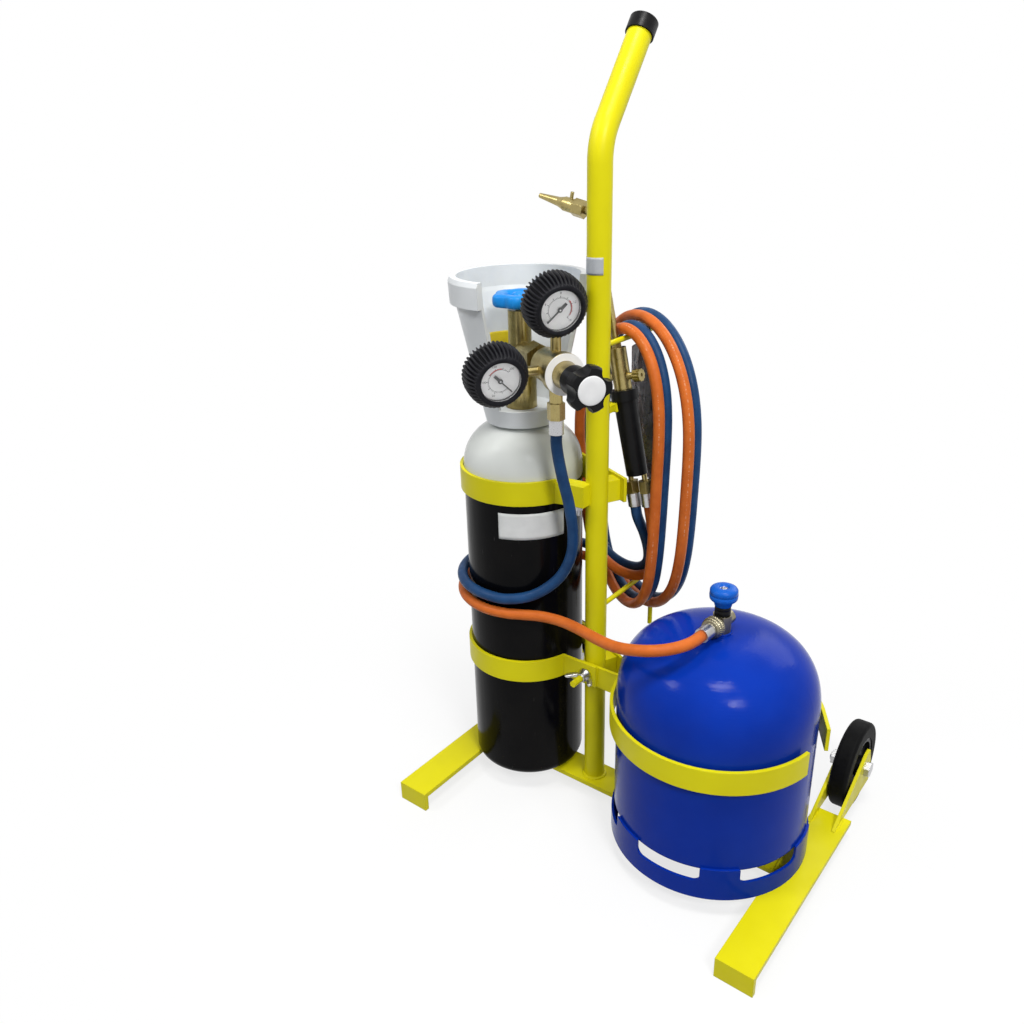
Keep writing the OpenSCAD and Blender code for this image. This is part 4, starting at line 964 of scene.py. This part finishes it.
def make_wing_nut():
    """Cast wing nut on the lower clamp."""
    low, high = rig.box("wing_nut")
    x, y, z = (low.x + high.x) / 2, high.y, (low.z + high.z) / 2

    def place(along, u, v):
        return Vector((x + u / 1000, y - along / 1000, z + v / 1000))

    def turned(along, u, v):
        return place(along, v, u)

    n, last = len(WING_EAR), len(WING_LAYERS) - 1
    mid_u, mid_along = (sum(p[i] for p in WING_EAR) / n for i in (0, 1))

    def wing(side):
        verts, faces = [], []
        for v, share in WING_LAYERS:
            for u, along in WING_EAR:
                reach, station = mid_u + (u - mid_u) * share, mid_along + (along - mid_along) * share
                verts.append(place(station, side * reach, v))
        for k in range(last):
            here, there = k * n, (k + 1) * n
            faces.extend((here + i, here + (i + 1) % n, there + (i + 1) % n, there + i) for i in range(n))
        faces.append(tuple(reversed(range(n))))
        faces.append(tuple(range(last * n, (last + 1) * n)))
        return verts, faces if side < 0 else [tuple(reversed(f)) for f in faces]
    hub = lathe(WING_HUB_ROWS, turned, WING_HUB_SIDES, closed=True)
    nut = piece("cast_wing_nut", *join(hub, wing(-1), wing(1)), STEEL, "zinc_steel", "wing_nut")
    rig.replaces(nut, "wing_nut")


# Height over FUEL_KNOB_Z and radius, from the bore round the outside to the screw in the top
FUEL_KNOB_ROWS = (
    (14.5, 0.4), (14.5, 3.7), (0.2, 3.7), (0.2, 6.8), (-3.0, 6.8), (-3.0, 8.6), (-2.4, 9.2), (0.5, 9.6),
    (5.0, 14.2), (6.0, 14.8), (10.5, 15.1), (11.0, 14.4), (11.6, 14.9), (15.5, 14.7), (17.2, 13.6),
    (18.3, 11.6), (18.9, 9.0), (19.0, 6.5), (18.6, 5.2), (16.6, 4.6), (16.4, 3.0), (17.2, 2.7), (17.3, 1.6),
)
SCREW_ROWS = 4
# The same for the sleeve under the knob
SLEEVE_ROWS = ((-13.4, 6.7), (-13.4, 8.0), (-12.8, 8.6), (-8.4, 8.6), (-7.9, 8.1), (-7.3, 8.1), (-6.8, 8.6),
               (-4.0, 8.4), (-3.2, 7.8), (-3.2, 6.7))
# Station out from the fuel valve's axis and radius
SWIVEL_ROWS = (
    (11.1, 8.2), (11.1, 10.2), (11.8, 11.3), (14.4, 11.9), (15.4, 11.7), (16.0, 10.7), (16.6, 10.7),
    (17.2, 11.8), (19.2, 12.0), (20.0, 11.6), (20.6, 10.6), (21.2, 10.6), (21.8, 11.2), (23.2, 10.8),
    (23.8, 9.8), (23.8, 6.0),
)
FUEL_KNOB_SIDES, SWIVEL_SIDES = 48, 180
KNURLS, KNURL_DEPTH, KNURLED_ROWS = 30, 0.22, range(2, 13)


def make_fuel_fittings():
    """Knob, bonnet sleeve and swivel nut of the fuel valve."""
    def upright(along, u, v):
        return at(FUEL_X + u, v, FUEL_KNOB_Z + along)

    def outward(along, u, v):
        c, s = math.cos(FUEL_TURN), math.sin(FUEL_TURN)
        return at(FUEL_X + along * c - u * s, along * s + u * c, FUEL_OUT_Z + v)

    def knurl(row, a):
        return KNURL_DEPTH + KNURL_DEPTH * math.cos(KNURLS * a) if row in KNURLED_ROWS else 0.0

    verts, faces = lathe(FUEL_KNOB_ROWS, upright, FUEL_KNOB_SIDES)
    # The screw and its flat end are steel
    screw_from = (len(FUEL_KNOB_ROWS) - SCREW_ROWS) * FUEL_KNOB_SIDES
    picks = [1 if f[0] >= screw_from and len(f) == 4 else 0 for f in faces]
    picks[-1] = 1
    knob = piece("round_fuel_knob", verts, faces, KNOB_BLUE, "blue_plastic", "fuel_knob",
                 looks=(STEEL,), picks=picks)
    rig.replaces(knob, "fuel_knob")
    sleeve = lathe(SLEEVE_ROWS, upright, FUEL_KNOB_SIDES, closed=True)
    piece("bonnet_sleeve", *sleeve, BLACK, "black_plastic")
    swivel = piece("swivel_nut", *lathe(SWIVEL_ROWS, outward, SWIVEL_SIDES, knurl), DULL_BRASS, "brass")
    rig.replaces(swivel, "fuel_outlet_nut")


# Weld beads, in metres
BEAD_STEP, BEAD_SIDES, BEAD_TAPER = 0.0011, 10, 4
RIPPLE, RIPPLE_LENGTH = 0.12, 0.0042
SWELL, SWELL_SCALE = 0.16, 120
LINE_STEPS = 8
# Radius and points of a round bead's path, and the radius of the bead
MAST_BEAD, HOOK_BEAD = (0.0132, 76, 0.0024), (0.0036, 26, 0.0013)
# Radius of a straight bead, and how far from the edges of its node it starts and ends
BEAM_BEAD, BEAM_INSET = 0.0017, 0.003
TOE_BEAD, TOE_RUN = 0.0016, (0.004, 0.028)
# Depth of the hooks' beads in the mast, in millimetres
HOOK_SINK = 0.2


def bead(points, radius, seed, closed=False):
    """A rippled weld bead along points."""
    path = points if closed else smooth_path(points, BEAD_STEP)[0]
    phase = random.Random(seed).random() * 6
    count = len(path)

    def width(run, i):
        end = 1.0 if closed else min(1.0, (i + 1) / BEAD_TAPER, (count - i) / BEAD_TAPER)
        ripple = RIPPLE * math.sin(run * 2 * math.pi / RIPPLE_LENGTH + phase)
        drift = SWELL * noise.noise(path[i] * SWELL_SCALE + Vector((seed, 0, 0)))
        return radius * end * (1 + ripple + drift)
    return tube(path, width, BEAD_SIDES, closed)[:2]


def make_welds():
    """Beads where the frame is welded, joined into one piece."""
    def ring(centre, size, axis_u, axis_v, seed):
        r, count, radius = size
        path = [centre + (axis_u * math.cos(a) + axis_v * math.sin(a)) * r for a in circle(count)]
        return bead(path, radius, seed, closed=True)

    def line(x, y0, y1, z):
        a, b = Vector((x, y0, z)), Vector((x, y1, z))
        return [a.lerp(b, k / LINE_STEPS) for k in range(LINE_STEPS + 1)]

    x, y, z = Vector((1, 0, 0)), Vector((0, 1, 0)), Vector((0, 0, 1))
    beads = [ring(at(0, 0, DECK_Z), MAST_BEAD, x, y, 1)]
    for i, height in enumerate(HOOK_HEIGHTS):
        beads.append(ring(at(0, MAST_R - HOOK_SINK, height), HOOK_BEAD, x, z, 2 + i))
    low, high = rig.box("cross_beam")
    for i, edge in enumerate((low.x, high.x)):
        beads.append(bead(line(edge, low.y + BEAM_INSET, high.y - BEAM_INSET, high.z), BEAM_BEAD, 6 + i))
    for i, name in enumerate(("left_wheel_bracket", "right_wheel_bracket")):
        low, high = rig.box(name)
        for j, edge in enumerate((low.x, high.x)):
            toe = line(edge, low.y + TOE_RUN[0], low.y + TOE_RUN[1], DECK_Z / 1000)
            beads.append(bead(toe, TOE_BEAD, 10 + 2 * i + j))
    piece("weld_beads", *join(*beads), YELLOW, "frame_paint")


# Spares pouch, in millimetres
POUCH_Y, POUCH_YAW = 94.5, math.radians(-27.3)
POUCH_LOW, POUCH_NECK, POUCH_TOP = 408.0, 556.0, 592.0
POUCH_COLS, POUCH_ROWS = 40, 84
BAG_HALF, BAG_WAIST, BAG_OVER = 26.4, 1.2, 6
BAG_WAVER, WAVER_SCALE, WAVER_PLANE = 0.8, 0.06, 3
HEADER_HALF, HEADER_RUN = 11.6, 9
BAG_PUFF, BAG_SHEET, BAG_THIN, BAG_FULL = 6.2, 0.35, 0.3, 6.8
# Powers that fill the bag out to its sides, raise its belly and fill it out to its ends
BAG_SIDES, BAG_BELLY, BAG_ENDS = 2.6, 0.75, 0.6
# Height of a fold, its noise scales across and up the bag, and the plane that the noise is cut in
FOLD, CRINKLE = (1.1, 5.5, 0.055, 5), (0.5, 13, 0.13, 9)
FOLDS_FROM = 2.2


def pouch_half(z, bag, side):
    """Half the pouch's width at a height: a waisted bag, and a narrow header above its neck."""
    waver = BAG_WAVER * noise.noise(Vector((z * WAVER_SCALE, WAVER_PLANE, side)))
    half = BAG_HALF - BAG_WAIST * math.sin(math.pi * bag) + waver
    if z > POUCH_NECK:
        half += (HEADER_HALF - half) * ease(min(1.0, (z - POUCH_NECK) / HEADER_RUN))
    return half


def fold(kind, u, z, side):
    height, wide, tall, plane = kind
    return height * noise.noise(Vector((u * wide, z * tall, plane * side)))


def pouch_depth(u, z, bag, side):
    """Distance of the film from the pouch's middle plane."""
    crown = 0.0
    if 0 < bag < 1:
        crown = (1 - abs(2 * u - 1) ** BAG_SIDES) * math.sin(math.pi * bag ** BAG_BELLY) ** BAG_ENDS
    puff = BAG_PUFF * crown
    folds = fold(FOLD, u, z, side) + fold(CRINKLE, u, z, side)
    return max(BAG_THIN, min(BAG_FULL, BAG_SHEET + puff + folds * min(1.0, puff / FOLDS_FROM)))


def make_pouch():
    """A crinkled bag that hangs on the upper hook, its header folded flat and its corners drawn in."""
    across = Vector((math.cos(POUCH_YAW), math.sin(POUCH_YAW), 0))
    through = Vector((-math.sin(POUCH_YAW), math.cos(POUCH_YAW), 0))
    cols, rows = POUCH_COLS, POUCH_ROWS

    def place(u, v, side):
        z = POUCH_LOW + (POUCH_TOP - POUCH_LOW) * v
        bag = min(1.0, max(0.0, (POUCH_NECK + BAG_OVER - z) / (POUCH_NECK - POUCH_LOW)))
        out = across * (2 * u - 1) * pouch_half(z, bag, side) + through * side * pouch_depth(u, z, bag, side)
        return at(0, POUCH_Y, z) + out / 1000

    verts, faces, first = [], [], {}
    for side in (-1, 1):
        first[side] = len(verts)
        verts.extend(place(i / cols, j / rows, side) for j in range(rows + 1) for i in range(cols + 1))
        for j in range(rows):
            for i in range(cols):
                a = first[side] + j * (cols + 1) + i
                quad = (a, a + 1, a + cols + 2, a + cols + 1)
                faces.append(quad if side < 0 else tuple(reversed(quad)))
    rim = [(i, 0) for i in range(cols)] + [(cols, j) for j in range(rows)]
    rim += [(i, rows) for i in range(cols, 0, -1)] + [(0, j) for j in range(rows, 0, -1)]
    front, back = ([first[side] + j * (cols + 1) + i for i, j in rim] for side in (-1, 1))
    for k in range(len(rim)):
        n = (k + 1) % len(rim)
        faces.append((front[n], front[k], back[k], back[n]))
    pouch = piece("spares_bag", verts, faces, FILM, "pouch_film")
    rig.replaces(pouch, "spares_pouch")


# Floor and light
FLOOR_HALF, FLOOR_Z = 14.0, -0.0004
# Share of plain white that the camera sees in the floor near the cart and far off, and those distances
FLOOR_GLOW, FLOOR_FADE = (0.74, 1.0), (0.15, 0.75)
FLOOR_PALE, FLOOR_BOUNCE = ((0.86, 0.86, 0.86), (0.89, 0.89, 0.89)), (0.28, 0.28, 0.28)
WORLD_COLOUR, WORLD_STRENGTH = (0.95, 0.97, 1.0, 1), 0.38
# Name, place, target, size, power and colour of each lamp
LAMPS = (
    ("overhead", (0.45, -0.45, 2.6), (0, 0, 0.3), (0.7, 0.5), 29, (1, 0.99, 0.97)),
    ("front_right", (1.5, -1.15, 2.0), (0, 0, 0.4), (0.5, 0.5), 28, (1, 1, 1)),
    ("front_left", (-1.1, -1.2, 2.0), (0, 0, 0.4), (0.5, 0.5), 12, (1, 1, 1)),
    ("behind", (0.3, 2.0, 1.6), (0, 0, 0.4), (1.4, 1.0), 12, (1, 1, 1)),
)


def make_floor():
    """A pale floor that fades into the white background and throws little light back up at the cart."""
    look = Look("pale_floor", Roughness=0.9)
    rays = look.add("LightPath").outputs
    pale = look.mix(look.noise(3, 2), *FLOOR_PALE)
    look.feed("Base Color", look.mix(rays["Is Diffuse Ray"], pale, FLOOR_BOUNCE))
    glow = look.add("Emission", {"Color": (1, 1, 1, 1), "Strength": 1.0}).outputs[0]
    mirrored = look.math("MAXIMUM", rays["Is Glossy Ray"], rays["Is Transmission Ray"])
    seen = look.math("MAXIMUM", rays["Is Camera Ray"], mirrored)
    where = look.add("TexCoord").outputs["Object"]
    far = look.add("VectorMath", {0: where}, operation="LENGTH").outputs["Value"]
    share = look.math("MULTIPLY", seen, look.span(far, *FLOOR_GLOW, *FLOOR_FADE))
    blend = look.add("MixShader", {0: share, 1: look.bsdf.outputs[0], 2: glow})
    look.tree.links.new(blend.outputs[0], look.tree.nodes["Material Output"].inputs["Surface"])
    mesh = bpy.data.meshes.new("floor")
    corners = [(x * FLOOR_HALF, y * FLOOR_HALF, 0) for x, y in ((-1, -1), (1, -1), (1, 1), (-1, 1))]
    mesh.from_pydata(corners, [], [(0, 1, 2, 3)])
    mesh.materials.append(look.mat)
    floor = bpy.data.objects.new("floor", mesh)
    floor.location.z = FLOOR_Z
    bpy.context.scene.collection.objects.link(floor)
    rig.stage(floor)


def make_world():
    """Soft light from all round, with a plain white background for the camera, metal and glass."""
    world = bpy.data.worlds.new("studio")
    bpy.context.scene.world = world
    world.use_nodes = True
    tree = world.node_tree
    soft = tree.nodes["Background"]
    soft.inputs["Color"].default_value = WORLD_COLOUR
    soft.inputs["Strength"].default_value = WORLD_STRENGTH
    plain = tree.nodes.new("ShaderNodeBackground")
    plain.inputs["Color"].default_value = (1, 1, 1, 1)
    rays = tree.nodes.new("ShaderNodeLightPath")
    seen = rays.outputs["Is Camera Ray"]
    for kind in ("Is Glossy Ray", "Is Transmission Ray"):
        either = tree.nodes.new("ShaderNodeMath")
        either.operation = "MAXIMUM"
        tree.links.new(seen, either.inputs[0])
        tree.links.new(rays.outputs[kind], either.inputs[1])
        seen = either.outputs[0]
    mix = tree.nodes.new("ShaderNodeMixShader")
    tree.links.new(seen, mix.inputs[0])
    tree.links.new(soft.outputs[0], mix.inputs[1])
    tree.links.new(plain.outputs[0], mix.inputs[2])
    tree.links.new(mix.outputs[0], tree.nodes["World Output"].inputs["Surface"])


def make_lamps():
    for name, place, target, size, power, colour in LAMPS:
        data = bpy.data.lights.new(name, "AREA")
        data.shape = "RECTANGLE"
        data.size, data.size_y = size
        data.energy, data.color = power, colour
        obj = bpy.data.objects.new(name, data)
        obj.location = place
        obj.rotation_euler = (Vector(target) - Vector(place)).to_track_quat("-Z", "Y").to_euler()
        bpy.context.scene.collection.objects.link(obj)


make_camera()
make_hose("oxygen_hose", OXYGEN_ROUTE, BLUE_HOSE, "blue_hose",
          ("oxygen_hose_lead", "oxygen_hose_coil", "oxygen_hose_tail"))
make_hose("fuel_hose", FUEL_ROUTE, ORANGE_HOSE, "orange_hose",
          ("fuel_hose_lead", "fuel_hose_coil", "fuel_hose_tail"))
dress_cad_nodes()
make_dial("contents", ("0", "50", "100", "150", "200"), (0.62, 0.86))
make_dial("outlet", ("0", "4", "8", "12", "16"), (0.68, 0.95))
make_labels()
make_knob_disc()
make_welds()
make_pouch()
make_boots()
make_handwheel()
make_wing_nut()
make_fuel_fittings()
make_floor()
make_world()
make_lamps()

bpy.context.scene.view_settings.view_transform = "Standard"
low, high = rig.bounds()
with open("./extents.json", "w") as out:
    json.dump({"cad": [list(CAD_LOW), list(CAD_HIGH)], "visual": [list(low), list(high)]}, out)
